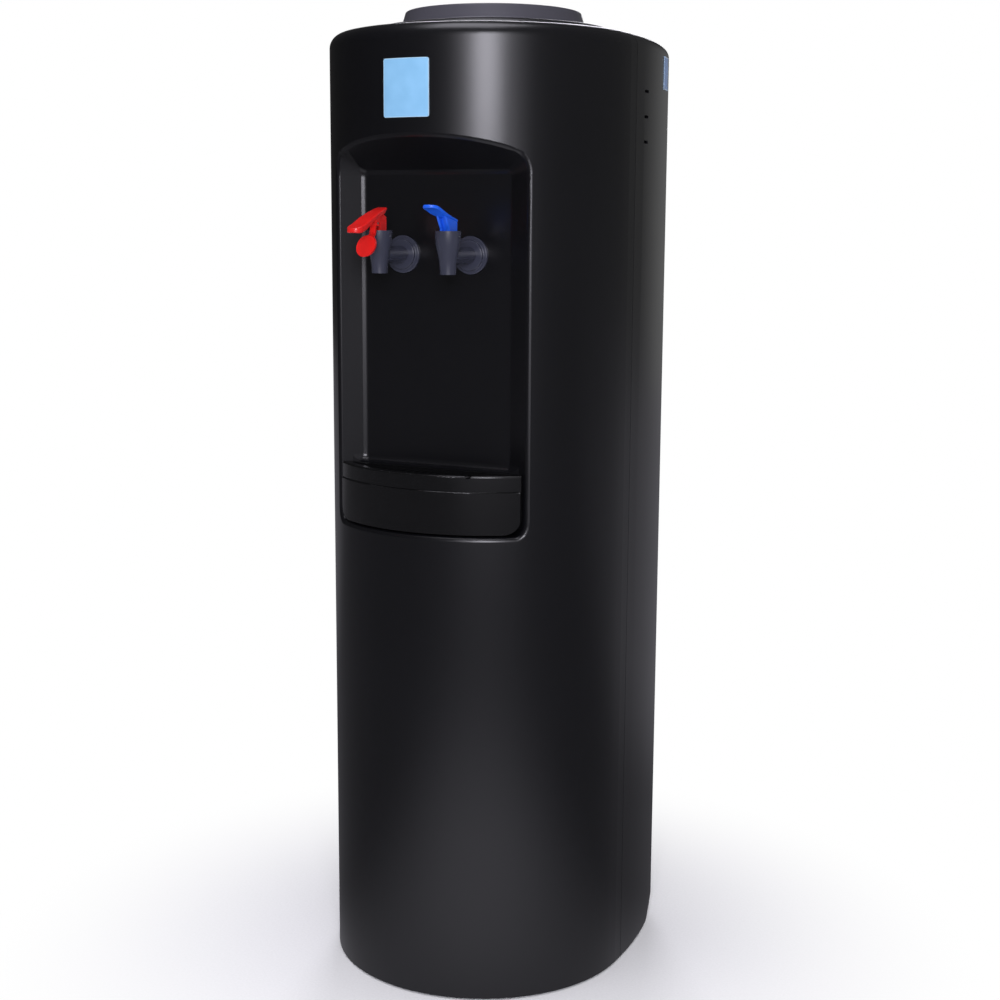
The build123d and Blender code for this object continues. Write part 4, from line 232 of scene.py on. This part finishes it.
def blacken_below(material, height, colour):
    """Gives the foot of a moulding another colour, with a sharp line where the two meet."""
    tree = material.node_tree
    shader = shader_of(material)
    upper = shader.inputs["Base Color"].links[0].from_socket
    place = add(tree, "ShaderNodeTexCoord").outputs["Object"]
    parts = add(tree, "ShaderNodeSeparateXYZ", links={"Vector": place})
    above = add(tree, "ShaderNodeMath", {1: height}, {0: parts.outputs["Z"]}, operation="GREATER_THAN")
    mix = add(tree, "ShaderNodeMix", {6: linear(colour)}, {0: above.outputs[0], 7: upper},
              data_type="RGBA")
    tree.links.new(mix.outputs[2], shader.inputs["Base Color"])


# ---------------------------------------------------------------- finishes
# Black ABS casing, moulded against a fine spark-eroded grain: satin, with a soft broad sheen
casing_abs = moulded("casing_black_abs", "#0D0D10", 0.3, 0.9, 0.004, mottle=0.02)
# The same ABS polished a little in the tray and its grille: tighter highlights on the rims
trim_abs = moulded("trim_black_abs", "#0C0C0D", 0.2, 0.8, 0.003, mottle=0.02)
# Collar in dark grey polypropylene: satin, bluish grey beside the casing
collar_pp = moulded("collar_grey_polypropylene", "#4A4951", 0.36, 0.7, 0.006, mottle=0.04)
# Guard in natural white polypropylene: milky and soft
guard_pp = moulded("guard_white_polypropylene", "#DCDDDC", 0.42, 1.0, 0.01, mottle=0.04, tint=0.05)
# Tap bodies in slate polypropylene: smooth, with soft highlights on the barrel and the stem
tap_pp = moulded("tap_slate_polypropylene", "#363845", 0.22, 0.8, 0.005, mottle=0.04)
# Levers in clear-coloured acetal: even, glossy colour
lever_red = moulded("lever_red_acetal", "#D21E1C", 0.2, 0.7, 0.004, mottle=0.03, tint=0.08)
lever_blue = moulded("lever_blue_acetal", "#1F5FE0", 0.2, 0.7, 0.004, mottle=0.03, tint=0.08)
# Silicone: milky and slightly tacky looking
silicone = moulded("silicone_milky", "#C9C8C1", 0.5, 0.6, 0.01)
# Black rubber with a dusty bloom
rubber = moulded("rubber_black", "#1B1B1B", 0.72, 0.5, 0.02, mottle=0.06, tint=0.3)
# White polystyrene in the cold tank: slightly creamy and smooth
lid_ps = moulded("lid_white_polystyrene", "#DEDDD6", 0.45, 1.0, 0.01, tint=0.05)
# Nylon fittings: creamy white with a waxy sheen
fitting_nylon = moulded("fitting_white_nylon", "#D3D2C8", 0.4, 0.7, 0.008, tint=0.07)
# Pressed phenolic: brownish black, duller than the casing
relay_phenolic = moulded("relay_black_phenolic", "#1D1C1B", 0.5, 0.5, 0.02, tint=0.2)
# Knob in black ABS, a little lighter and duller than the casing
knob_abs = moulded("knob_black_abs", "#1A1A1C", 0.38, 0.6, 0.01)
# Rockers in coloured polycarbonate: deep, glossy colour
rocker_red = moulded("rocker_red_polycarbonate", "#B5120F", 0.2, 0.6, 0.003)
rocker_green = moulded("rocker_green_polycarbonate", "#0E8A3A", 0.2, 0.6, 0.003)
# Dipped and stoved enamel: black with a slight orange peel, duller on the condenser
compressor_enamel = moulded("compressor_black_enamel", "#101011", 0.3, 2.2, 0.05, mottle=0.06)
condenser_enamel = moulded("condenser_black_enamel", "#121213", 0.38, 1.2, 0.03, mottle=0.08)
# White ink on the back panel: flat and even
white_ink = moulded("dial_ink_white", "#E6E6E2", 0.5, 0.4, 0.002, tint=0.05)

# Deep-drawn stainless steel: grey with fine upright lines
stainless = drawn_metal("stainless_deep_drawn", "#BDBCB8", 0.3, (1, 1, 0.04), 0.5)
# Drawn spring wire: bright and even
spring_wire = drawn_metal("spring_stainless_wire", "#B5B4B0", 0.32, (1, 1, 1), 0.5)
# Drawn copper tube: warm, with faint upright lines
copper = drawn_metal("copper_drawn_tube", "#C27A55", 0.34, (1, 1, 0.1), 0.6)
# Steel band tinted straw by its own heat
band_steel = drawn_metal("heater_band_tinted_steel", "#A8957C", 0.4, (1, 1, 0.1), 0.6)
# Bright zinc plate on screws and bolts: pale and a little cloudy
zinc_plate = drawn_metal("bolt_bright_zinc", "#C3C4C0", 0.3, (1, 1, 1), 0.4)
# Galvanised sheet with crystals about 12 mm across
galvanised = spangled_sheet("galvanised_sheet_spangled", crystal_mm=12)
# Foam of beads about 4 mm across
foam = bead_foam("expanded_polystyrene_beads", bead_mm=4, joint_depth_mm=0.5)
# Printed plates: clear blue under a gloss film
badge_print = printed_plate("badge_blue_print", "front_badge", "X", ("#88BDE2", "#80B5DB"), "#B4D6EC",
                            edge_mm=0.5, roughness=0.3)
label_print = printed_plate("label_blue_print", "side_label", "Y", ("#4C86CF", "#4580C9"), "#A9C6E6",
                            edge_mm=1.2, roughness=0.35)

# The alcove's left wall is eroded dull; its rear corner and the opening's rim keep their sheen
RIM_DEPTH = 3.35 * MM         # outer part of the rim's rounding, in from the casing's face
LINING_START = -85.2 * MM     # 4 mm left of the alcove's rear wall
LINING_TOP = 860 * MM         # just under the arch's apex
casing_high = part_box("front_shell")[1]
dull_lining(casing_abs, casing_high[0] - RIM_DEPTH, LINING_START, LINING_TOP, roughness=0.8)
# The collar's flange is black like the casing; its ring is grey
BLACK_RISE = 10.2 * MM        # above the deck, just under the ring's foot
blacken_below(collar_pp, casing_high[2] + BLACK_RISE, "#101012")

finishes = {
    "front_shell": casing_abs, "rear_shell": casing_abs, "drip_tray": trim_abs, "drip_grille": trim_abs,
    "switch_plate": trim_abs, "bottle_collar": collar_pp, "spill_guard": guard_pp,
    "cold_tap_body": tap_pp, "hot_tap_body": tap_pp, "tap_nuts": tap_pp,
    "hot_lever": lever_red, "safety_tongue": lever_red, "cold_lever": lever_blue,
    "cold_plunger": silicone, "hot_plunger": silicone, "cold_outlet_sleeve": silicone,
    "hot_outlet_hose": silicone, "drain_hose": silicone,
    "cold_tank": stainless, "hot_tank": stainless, "lever_pins": stainless, "tongue_pin": stainless,
    "cold_tap_spring": spring_wire, "hot_tap_spring": spring_wire,
    "rear_panel": galvanised, "hot_tank_shelf": galvanised, "cold_tank_shelf": galvanised,
    "base_pan": galvanised, "cold_insulation": foam, "hot_insulation": foam,
    "cold_tank_lid": lid_ps, "separator_baffle": lid_ps, "feed_pipe": lid_ps,
    "feet": rubber, "neck_gasket": rubber, "tap_washers": rubber, "compressor_grommets": rubber,
    "evaporator_coil": copper, "suction_line": copper, "discharge_line": copper,
    "capillary_tube": copper, "filter_drier": copper,
    "band_heater": band_steel, "thermal_cutouts": relay_phenolic,
    "drain_fitting": fitting_nylon, "drain_cap": fitting_nylon, "thermostat": fitting_nylon,
    "compressor": compressor_enamel, "relay_cover": relay_phenolic, "cord_gland": relay_phenolic,
    "condenser_tube": condenser_enamel, "condenser_wires": condenser_enamel,
    "condenser_brackets": condenser_enamel,
    "compressor_bolts": zinc_plate, "panel_screws": zinc_plate,
    "front_badge": badge_print, "side_label": label_print,
    "hot_switch": rocker_red, "cold_switch": rocker_green, "thermostat_knob": knob_abs,
}
for name, material in finishes.items():
    cad = nodes[name]
    if not cad.material_slots:
        cad.data.materials.append(None)
    for place_in_list in cad.material_slots:
        place_in_list.material = material


# ---------------------------------------------------------------- fine pieces that repeat
def pattern_tree(name, inputs):
    """A Geometry Nodes tree with its named inputs, and its group input's sockets."""
    tree = bpy.data.node_groups.new(name, "GeometryNodeTree")
    for label, kind in inputs.items():
        tree.interface.new_socket(label, in_out="INPUT", socket_type=f"NodeSocket{kind}")
    tree.interface.new_socket("Geometry", in_out="OUTPUT", socket_type="NodeSocketGeometry")
    return tree, add(tree, "NodeGroupInput").outputs


def finish_tree(tree, instances, material):
    """Ends a tree in plain mesh with its material."""
    real = add(tree, "GeometryNodeRealizeInstances", links={"Geometry": instances})
    dressed = add(tree, "GeometryNodeSetMaterial",
                  links={"Geometry": real.outputs[0], "Material": material})
    add(tree, "NodeGroupOutput", links={"Geometry": dressed.outputs[0]})


def run_tree(name, tree, values):
    """Runs a tree once with its inputs set and keeps what it makes as an object with a plain mesh."""
    made = bpy.data.objects.new(name, bpy.data.meshes.new(name))
    scene.collection.objects.link(made)
    modifier = made.modifiers.new(name, "NODES")
    modifier.node_group = tree
    for socket in tree.interface.items_tree:
        if socket.in_out == "INPUT":
            modifier[socket.identifier] = values[socket.name]
    seen = made.evaluated_get(bpy.context.evaluated_depsgraph_get())
    mesh = bpy.data.meshes.new_from_object(seen)
    made.modifiers.clear()
    made.data = mesh
    return made


def wire_row_tree():
    """Straight welded wires side by side, each a hair out of place as welding leaves them."""
    tree, given = pattern_tree("wire_row", {
        "Count": "Int", "Pitch": "Float", "Length": "Float", "Radius": "Float",
        "First": "Vector", "Stray": "Float", "Seed": "Int", "Finish": "Material"})
    top = add(tree, "ShaderNodeCombineXYZ", links={"Z": given["Length"]})
    middle = add(tree, "GeometryNodeCurvePrimitiveLine", links={"End": top.outputs[0]})
    section = add(tree, "GeometryNodeCurvePrimitiveCircle", {"Resolution": 10},
                  {"Radius": given["Radius"]})
    wire = add(tree, "GeometryNodeCurveToMesh", {"Fill Caps": True},
               {"Curve": middle.outputs[0], "Profile Curve": section.outputs[0]})
    step = add(tree, "ShaderNodeCombineXYZ", links={"X": given["Pitch"]})
    feet = add(tree, "GeometryNodeMeshLine",
               links={"Count": given["Count"], "Start Location": given["First"], "Offset": step.outputs[0]})
    low = add(tree, "ShaderNodeMath", {1: -1.0}, {0: given["Stray"]}, operation="MULTIPLY")
    astray = add(tree, "FunctionNodeRandomValue",
                 links={"Min": low.outputs[0], "Max": given["Stray"], "Seed": given["Seed"]},
                 data_type="FLOAT")
    shift = add(tree, "ShaderNodeCombineXYZ",
                links={"X": astray.outputs["Value"], "Z": astray.outputs["Value"]})
    moved = add(tree, "GeometryNodeSetPosition",
                links={"Geometry": feet.outputs[0], "Offset": shift.outputs[0]})
    placed = add(tree, "GeometryNodeInstanceOnPoints",
                 links={"Points": moved.outputs[0], "Instance": wire.outputs[0]})
    finish_tree(tree, placed.outputs[0], given["Finish"])
    return tree


def screw_grid_tree():
    """Screw heads at the crossings of an upright grid, each stopped at its own turn."""
    tree, given = pattern_tree("screw_grid", {
        "Across": "Float", "Up": "Float", "Columns": "Int", "Rows": "Int",
        "Middle": "Vector", "Head": "Object", "Seed": "Int", "Finish": "Material"})
    grid = add(tree, "GeometryNodeMeshGrid",
               links={"Size X": given["Across"], "Size Y": given["Up"],
                      "Vertices X": given["Columns"], "Vertices Y": given["Rows"]})
    upright = add(tree, "GeometryNodeTransform", {"Rotation": (math.pi / 2, 0, 0)},
                  {"Geometry": grid.outputs[0], "Translation": given["Middle"]})
    head = add(tree, "GeometryNodeObjectInfo", links={"Object": given["Head"]})
    turn = add(tree, "FunctionNodeRandomValue", {"Min": 0.0, "Max": math.pi}, {"Seed": given["Seed"]},
               data_type="FLOAT")
    about = add(tree, "ShaderNodeCombineXYZ", links={"Y": turn.outputs["Value"]})
    placed = add(tree, "GeometryNodeInstanceOnPoints",
                 links={"Points": upright.outputs[0], "Instance": head.outputs["Geometry"],
                        "Rotation": about.outputs[0]})
    finish_tree(tree, placed.outputs[0], given["Finish"])
    return tree


def dial_mark_tree():
    """Printed strokes round a knob, from its lowest to its highest setting."""
    tree, given = pattern_tree("dial_marks", {
        "Count": "Int", "Sweep": "Float", "Start": "Float", "Reach": "Float", "Length": "Float",
        "Width": "Float", "Thickness": "Float", "Middle": "Vector", "Finish": "Material"})
    # one stroke with rounded corners, standing on the panel
    rounding = 0.4            # share of the stroke's width
    outline = add(tree, "GeometryNodeCurvePrimitiveQuadrilateral",
                  links={"Width": given["Width"], "Height": given["Length"]})
    corner = add(tree, "ShaderNodeMath", {1: rounding}, {0: given["Width"]}, operation="MULTIPLY")
    rounded = add(tree, "GeometryNodeFilletCurve", {"Count": 4},
                  {"Curve": outline.outputs[0], "Radius": corner.outputs[0]}, mode="POLY")
    flat = add(tree, "GeometryNodeFillCurve", links={"Curve": rounded.outputs[0]})
    stroke = add(tree, "GeometryNodeExtrudeMesh",
                 links={"Mesh": flat.outputs[0], "Offset Scale": given["Thickness"]})
    facing = add(tree, "GeometryNodeTransform", {"Rotation": (-math.pi / 2, 0, 0)},
                 {"Geometry": stroke.outputs[0]})
    # its places round the knob
    row = add(tree, "GeometryNodePoints", links={"Count": given["Count"]})
    number = add(tree, "GeometryNodeInputIndex")
    gaps = add(tree, "ShaderNodeMath", {1: 1.0}, {0: given["Count"]}, operation="SUBTRACT")
    step = add(tree, "ShaderNodeMath", links={0: given["Sweep"], 1: gaps.outputs[0]},
               operation="DIVIDE")
    angle = add(tree, "ShaderNodeMath",
                links={0: number.outputs[0], 1: step.outputs[0], 2: given["Start"]},
                operation="MULTIPLY_ADD")
    sine = add(tree, "ShaderNodeMath", links={0: angle.outputs[0]}, operation="SINE")
    cosine = add(tree, "ShaderNodeMath", links={0: angle.outputs[0]}, operation="COSINE")
    ray = add(tree, "ShaderNodeCombineXYZ", links={"X": sine.outputs[0], "Z": cosine.outputs[0]})
    out = add(tree, "ShaderNodeVectorMath", links={0: ray.outputs[0], "Scale": given["Reach"]},
              operation="SCALE")
    spot = add(tree, "ShaderNodeVectorMath", links={0: out.outputs[0], 1: given["Middle"]},
               operation="ADD")
    placed_row = add(tree, "GeometryNodeSetPosition",
                     links={"Geometry": row.outputs[0], "Position": spot.outputs[0]})
    about = add(tree, "ShaderNodeCombineXYZ", links={"Y": angle.outputs[0]})
    placed = add(tree, "GeometryNodeInstanceOnPoints",
                 links={"Points": placed_row.outputs[0], "Instance": facing.outputs[0],
                        "Rotation": about.outputs[0]})
    finish_tree(tree, placed.outputs[0], given["Finish"])
    return tree


def pan_head(name, radius, height, cross, depth, shank):
    """Pan-head screw with a cross recess; its axis runs along Y from the seat outwards."""
    spokes = 40
    edge = ((1, 0), (1, 0.35), (0.95, 0.62), (0.84, 0.84))   # shares of the radius and the height
    crown = (0.72, 0.6, 0.5, 0.4, 0.3, 0.2, 0.1)             # shares of the radius
    crown_fall = 0.22
    rings = [(shank, -height), (shank, 0)]
    rings += [(across * radius, up * height) for across, up in edge]
    rings += [(share * radius, height * (1 - crown_fall * share**2)) for share in crown]
    recess_reach = 0.62 * radius
    shape = bmesh.new()
    loops = []
    for ring_radius, rise in rings:
        loop = []
        for spoke in range(spokes):
            angle = 2 * math.pi * spoke / spokes
            across, up = ring_radius * math.cos(angle), ring_radius * math.sin(angle)
            on_arm = min(abs(across), abs(up)) < cross / 2
            sunk = depth if on_arm and rise > 0 and ring_radius < recess_reach else 0
            loop.append(shape.verts.new((across, rise - sunk, up)))
        loops.append(loop)
    for inner, outer in zip(loops, loops[1:]):
        for spoke in range(spokes):
            after = (spoke + 1) % spokes
            shape.faces.new((inner[spoke], inner[after], outer[after], outer[spoke]))
    shape.faces.new(loops[0])
    shape.faces.new(loops[-1])
    bmesh.ops.recalc_face_normals(shape, faces=shape.faces)
    for face in shape.faces:
        face.smooth = True
    mesh = bpy.data.meshes.new(name)
    shape.to_mesh(mesh)
    shape.free()
    mesh.set_sharp_from_angle(angle=math.radians(35))
    return bpy.data.objects.new(name, mesh)


def condenser_wire_row():
    """The wires welded across the condenser's tube."""
    low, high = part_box("condenser_wires")
    middle = middle_of(low, high)
    radius = (high[1] - low[1]) / 2
    count = 19
    end_play = 0.5 * MM
    wires = run_tree("condenser_wire_row", wire_row_tree(), {
        "Count": count, "Radius": radius, "Length": high[2] - low[2] - 2 * end_play,
        "Pitch": (high[0] - low[0] - 2 * radius) / (count - 1), "Stray": 0.3 * MM, "Seed": 4,
        "First": (low[0] + radius, middle[1], low[2] + end_play), "Finish": condenser_enamel})
    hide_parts("condenser_wires")
    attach(wires, "cabinet")


def back_panel_screws():
    """Eight screws that hold the back panel to the shell's ribs."""
    low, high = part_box("panel_screws")
    radius, height = 4 * MM, 2.4 * MM
    head = pan_head("screw_head", radius, height, cross=1.3 * MM, depth=1.3 * MM, shank=2 * MM)
    screws = run_tree("panel_screw_heads", screw_grid_tree(), {
        "Across": high[0] - low[0] - 2 * radius, "Up": high[2] - low[2] - 2 * radius,
        "Columns": 2, "Rows": 4, "Head": head, "Seed": 11, "Finish": zinc_plate,
        "Middle": (0, high[1] - height, middle_of(low, high)[2])})
    bpy.data.objects.remove(head)
    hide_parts("panel_screws")
    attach(screws, "cabinet")


def thermostat_marks():
    """Marks round the thermostat knob, in white ink on the back panel."""
    low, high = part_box("thermostat_knob")
    knob_gap = 1 * MM
    knob_radius = 14 * MM
    marks = run_tree("thermostat_marks", dial_mark_tree(), {
        "Count": 10, "Sweep": math.radians(270), "Start": math.radians(-135),
        "Reach": knob_radius + 5 * MM, "Length": 4 * MM, "Width": 0.9 * MM, "Thickness": 0.12 * MM,
        "Middle": (middle_of(low, high)[0], low[1] - knob_gap, low[2] + knob_radius),
        "Finish": white_ink})
    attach(marks, "cabinet")


condenser_wire_row()
back_panel_screws()
thermostat_marks()

# ---------------------------------------------------------------- studio
# levels in reflections; the floor's three are painted glow that only reflections see
DARK_ROOM = (0.03, 0.13)      # the room round the cooler, from its -X side to its +X side
BACKDROP_LIGHT = 0.33         # the backdrop behind the cooler
PAINTED_FLOOR_GLOW = 0.13             # painted glow of the floor outside the pool, in reflections only
PAINTED_POOL_GLOW = 1.0               # painted light at the middle of the pool, in reflections only
PAINTED_SWEEP_GLOW = 0.28            # painted glow of the paper sweep behind the cooler, in reflections only
# places, in metres, and directions, as shares of a unit vector
ROOM_SIDES = (-0.9, 0.9)      # X of a direction, from the room's darkest to its lightest
BACKDROP_EDGE = (0.93, 1.0)   # Y of a direction where the backdrop begins and where it is full
POOL_CENTRE = (0.24, -0.52, 0)
POOL_RADIUS = 0.74            # where the pool has faded out
POOL_CORE = 0.1               # where the pool is still at its full level
SWEEP_REACH = 1.2             # how far behind the cooler the sweep is at its full level
SHADOW_REACH = (0.17, 0.55)   # from the middle, where the shadow starts to fade and where it is gone
FLOOR_HALF = 6.0
# light and paper
ROOM_LIGHT = 0.4              # the room's own light on the cooler
PAPER_SCALE = 400.0           # paper's tooth, drawn at 2.5 mm so that it shows
COOL_LIGHT = "#F6F4FF"        # studio light, a little towards blue


def studio_floor():
    """Pale paper: keeps the shadow near the cooler and runs out into the white backdrop.

    In reflections the paper glows with painted light: a pale pool in front of the cooler and a dimmer
    sweep behind it, as on a paper sweep in a dark room.
    """
    material = bpy.data.materials.new("floor_pale_paper")
    material.use_nodes = True
    tree = material.node_tree
    tree.nodes.clear()
    place = add(tree, "ShaderNodeTexCoord").outputs["Object"]
    reach = add(tree, "ShaderNodeVectorMath", links={0: place}, operation="LENGTH")
    far = add(tree, "ShaderNodeMapRange", {"From Min": SHADOW_REACH[0], "From Max": SHADOW_REACH[1]},
              {"Value": reach.outputs["Value"]}, interpolation_type="SMOOTHSTEP")
    # Painted light: for reflected rays the paper glows as a pool in front and a sweep behind, lit by no
    # lamp
    pool_place = add(tree, "ShaderNodeVectorMath", {1: POOL_CENTRE}, {0: place}, operation="DISTANCE")
    pool = add(tree, "ShaderNodeMapRange",
               {"From Min": POOL_RADIUS, "From Max": POOL_CORE, "To Min": PAINTED_FLOOR_GLOW, "To Max": PAINTED_POOL_GLOW},
               {"Value": pool_place.outputs["Value"]}, interpolation_type="SMOOTHSTEP")
    spot = add(tree, "ShaderNodeSeparateXYZ", links={"Vector": place})
    sweep = add(tree, "ShaderNodeMapRange",
                {"From Min": 0.0, "From Max": SWEEP_REACH, "To Max": PAINTED_SWEEP_GLOW},
                {"Value": spot.outputs["Y"]}, interpolation_type="SMOOTHSTEP")
    painted_glow = add(tree, "ShaderNodeMath", links={0: pool.outputs["Result"], 1: sweep.outputs["Result"]},
                operation="MAXIMUM")
    tooth = add(tree, "ShaderNodeTexNoise", {"Scale": PAPER_SCALE}, {"Vector": place})
    paper = add(tree, "ShaderNodeValToRGB", links={"Fac": tooth.outputs["Fac"]},
                stops=[(0.3, linear("#F2F2F2")), (0.7, linear("#F8F8F8"))])
    path = add(tree, "ShaderNodeLightPath")
    seen = add(tree, "ShaderNodeMath", links={0: path.outputs["Is Camera Ray"], 1: far.outputs["Result"]},
               operation="MULTIPLY")
    matt = add(tree, "ShaderNodeBsdfDiffuse", links={"Color": paper.outputs["Color"]})
    white = add(tree, "ShaderNodeEmission", {"Color": grey(1.0), "Strength": 1.0})
    mirrored = add(tree, "ShaderNodeEmission", {"Color": linear(COOL_LIGHT)},
                   {"Strength": painted_glow.outputs[0]})
    faded = add(tree, "ShaderNodeMixShader",
                links={"Fac": seen.outputs[0], 1: matt.outputs["BSDF"], 2: white.outputs["Emission"]})
    mix = add(tree, "ShaderNodeMixShader",
              links={"Fac": path.outputs["Is Glossy Ray"], 1: faded.outputs["Shader"],
                     2: mirrored.outputs["Emission"]})
    add(tree, "ShaderNodeOutputMaterial", links={"Surface": mix.outputs["Shader"]})
    mesh = bpy.data.meshes.new("studio_floor")
    shape = bmesh.new()
    bmesh.ops.create_grid(shape, x_segments=8, y_segments=8, size=FLOOR_HALF)
    shape.to_mesh(mesh)
    shape.free()
    made = bpy.data.objects.new("studio_floor", mesh)
    mesh.materials.append(material)
    scene.collection.objects.link(made)


def studio_world():
    """White for the camera; reflections show the backdrop behind and a darker room in front."""
    world = bpy.data.worlds.new("studio_white")
    world.use_nodes = True
    scene.world = world
    tree = world.node_tree
    tree.nodes.clear()
    path = add(tree, "ShaderNodeLightPath")
    seen = add(tree, "ShaderNodeMath",
               links={0: path.outputs["Is Camera Ray"], 1: path.outputs["Is Transmission Ray"]},
               operation="MAXIMUM")
    direction = add(tree, "ShaderNodeTexCoord").outputs["Generated"]
    way = add(tree, "ShaderNodeSeparateXYZ", links={"Vector": direction})
    front = add(tree, "ShaderNodeMapRange",
                {"From Min": ROOM_SIDES[0], "From Max": ROOM_SIDES[1],
                 "To Min": DARK_ROOM[0], "To Max": DARK_ROOM[1]},
                {"Value": way.outputs["X"]})
    behind = add(tree, "ShaderNodeMapRange",
                 {"From Min": BACKDROP_EDGE[0], "From Max": BACKDROP_EDGE[1], "To Max": BACKDROP_LIGHT},
                 {"Value": way.outputs["Y"]}, interpolation_type="SMOOTHSTEP")
    room = add(tree, "ShaderNodeMath", links={0: front.outputs["Result"], 1: behind.outputs["Result"]},
               operation="MAXIMUM")
    mirrored = add(tree, "ShaderNodeMath", links={0: path.outputs["Is Glossy Ray"], 1: room.outputs[0]},
                   operation="MULTIPLY")
    level = add(tree, "ShaderNodeMath", links={0: seen.outputs[0], 1: mirrored.outputs[0]},
                operation="MAXIMUM")
    spread = add(tree, "ShaderNodeMath", {1: ROOM_LIGHT}, {0: path.outputs["Is Diffuse Ray"]},
                 operation="MULTIPLY")
    strength = add(tree, "ShaderNodeMath", links={0: level.outputs[0], 1: spread.outputs[0]},
                   operation="MAXIMUM")
    white = add(tree, "ShaderNodeBackground", {"Color": grey(1.0)}, {"Strength": strength.outputs[0]})
    add(tree, "ShaderNodeOutputWorld", links={"Surface": white.outputs["Background"]})


def softbox(name, azimuth, distance, height, size, power, aim_z):
    """Rectangular soft light; azimuth as for the camera, 0 in front of the cooler."""
    light = bpy.data.lights.new(name, "AREA")
    light.shape = "RECTANGLE"
    light.size, light.size_y = size
    light.energy = power
    light.color = linear(COOL_LIGHT)[:3]
    made = bpy.data.objects.new(name, light)
    angle = math.radians(azimuth)
    made.location = (distance * math.sin(angle), -distance * math.cos(angle), height)
    towards = Vector((0, 0, aim_z)) - made.location
    made.rotation_mode = "QUATERNION"
    made.rotation_quaternion = towards.to_track_quat("-Z", "Y")
    scene.collection.objects.link(made)


def camera_as_photographed():
    """Eye height and lens worked out from the casing's outline."""
    azimuth, yaw = math.radians(27.435), math.radians(-0.533)
    pitch, roll = math.radians(9.769), math.radians(0.323)
    distance, height = 1.72328, 0.78681
    heading = azimuth + yaw
    forward = Vector((-math.sin(heading) * math.cos(pitch), math.cos(heading) * math.cos(pitch),
                      -math.sin(pitch)))
    right = Vector((math.cos(heading), math.sin(heading), 0))
    up = right.cross(forward)
    right, up = (right * math.cos(roll) + up * math.sin(roll), up * math.cos(roll) - right * math.sin(roll))
    camera = bpy.data.cameras.new("photograph_view")
    camera.lens = 59.23
    camera.sensor_width = 36.0
    made = bpy.data.objects.new("photograph_view", camera)
    made.matrix_world = Matrix((right, up, -forward)).transposed().to_4x4()
    made.location = (distance * math.sin(azimuth), -distance * math.cos(azimuth), height)
    scene.collection.objects.link(made)
    scene.camera = made


studio_floor()
studio_world()
# Over the camera: the bright band down the middle of the front
softbox("key_softbox", azimuth=27.2, distance=2.2, height=1.28, size=(0.64, 0.85), power=28.5, aim_z=0.9)
# Wide and weak behind it: the softer light beside the band
softbox("front_panel", azimuth=30, distance=2.4, height=0.975, size=(2.1, 1.35), power=7.6, aim_z=0.7)
# Above: what faces up
softbox("overhead_softbox", azimuth=0, distance=0.4, height=2.6, size=(1.2, 1.2), power=20, aim_z=0.9)
# Behind the cooler: its back
softbox("rear_fill", azimuth=204, distance=2.4, height=1.5, size=(0.8, 1.5), power=26, aim_z=0.6)
camera_as_photographed()
scene.view_settings.view_transform = "Standard"
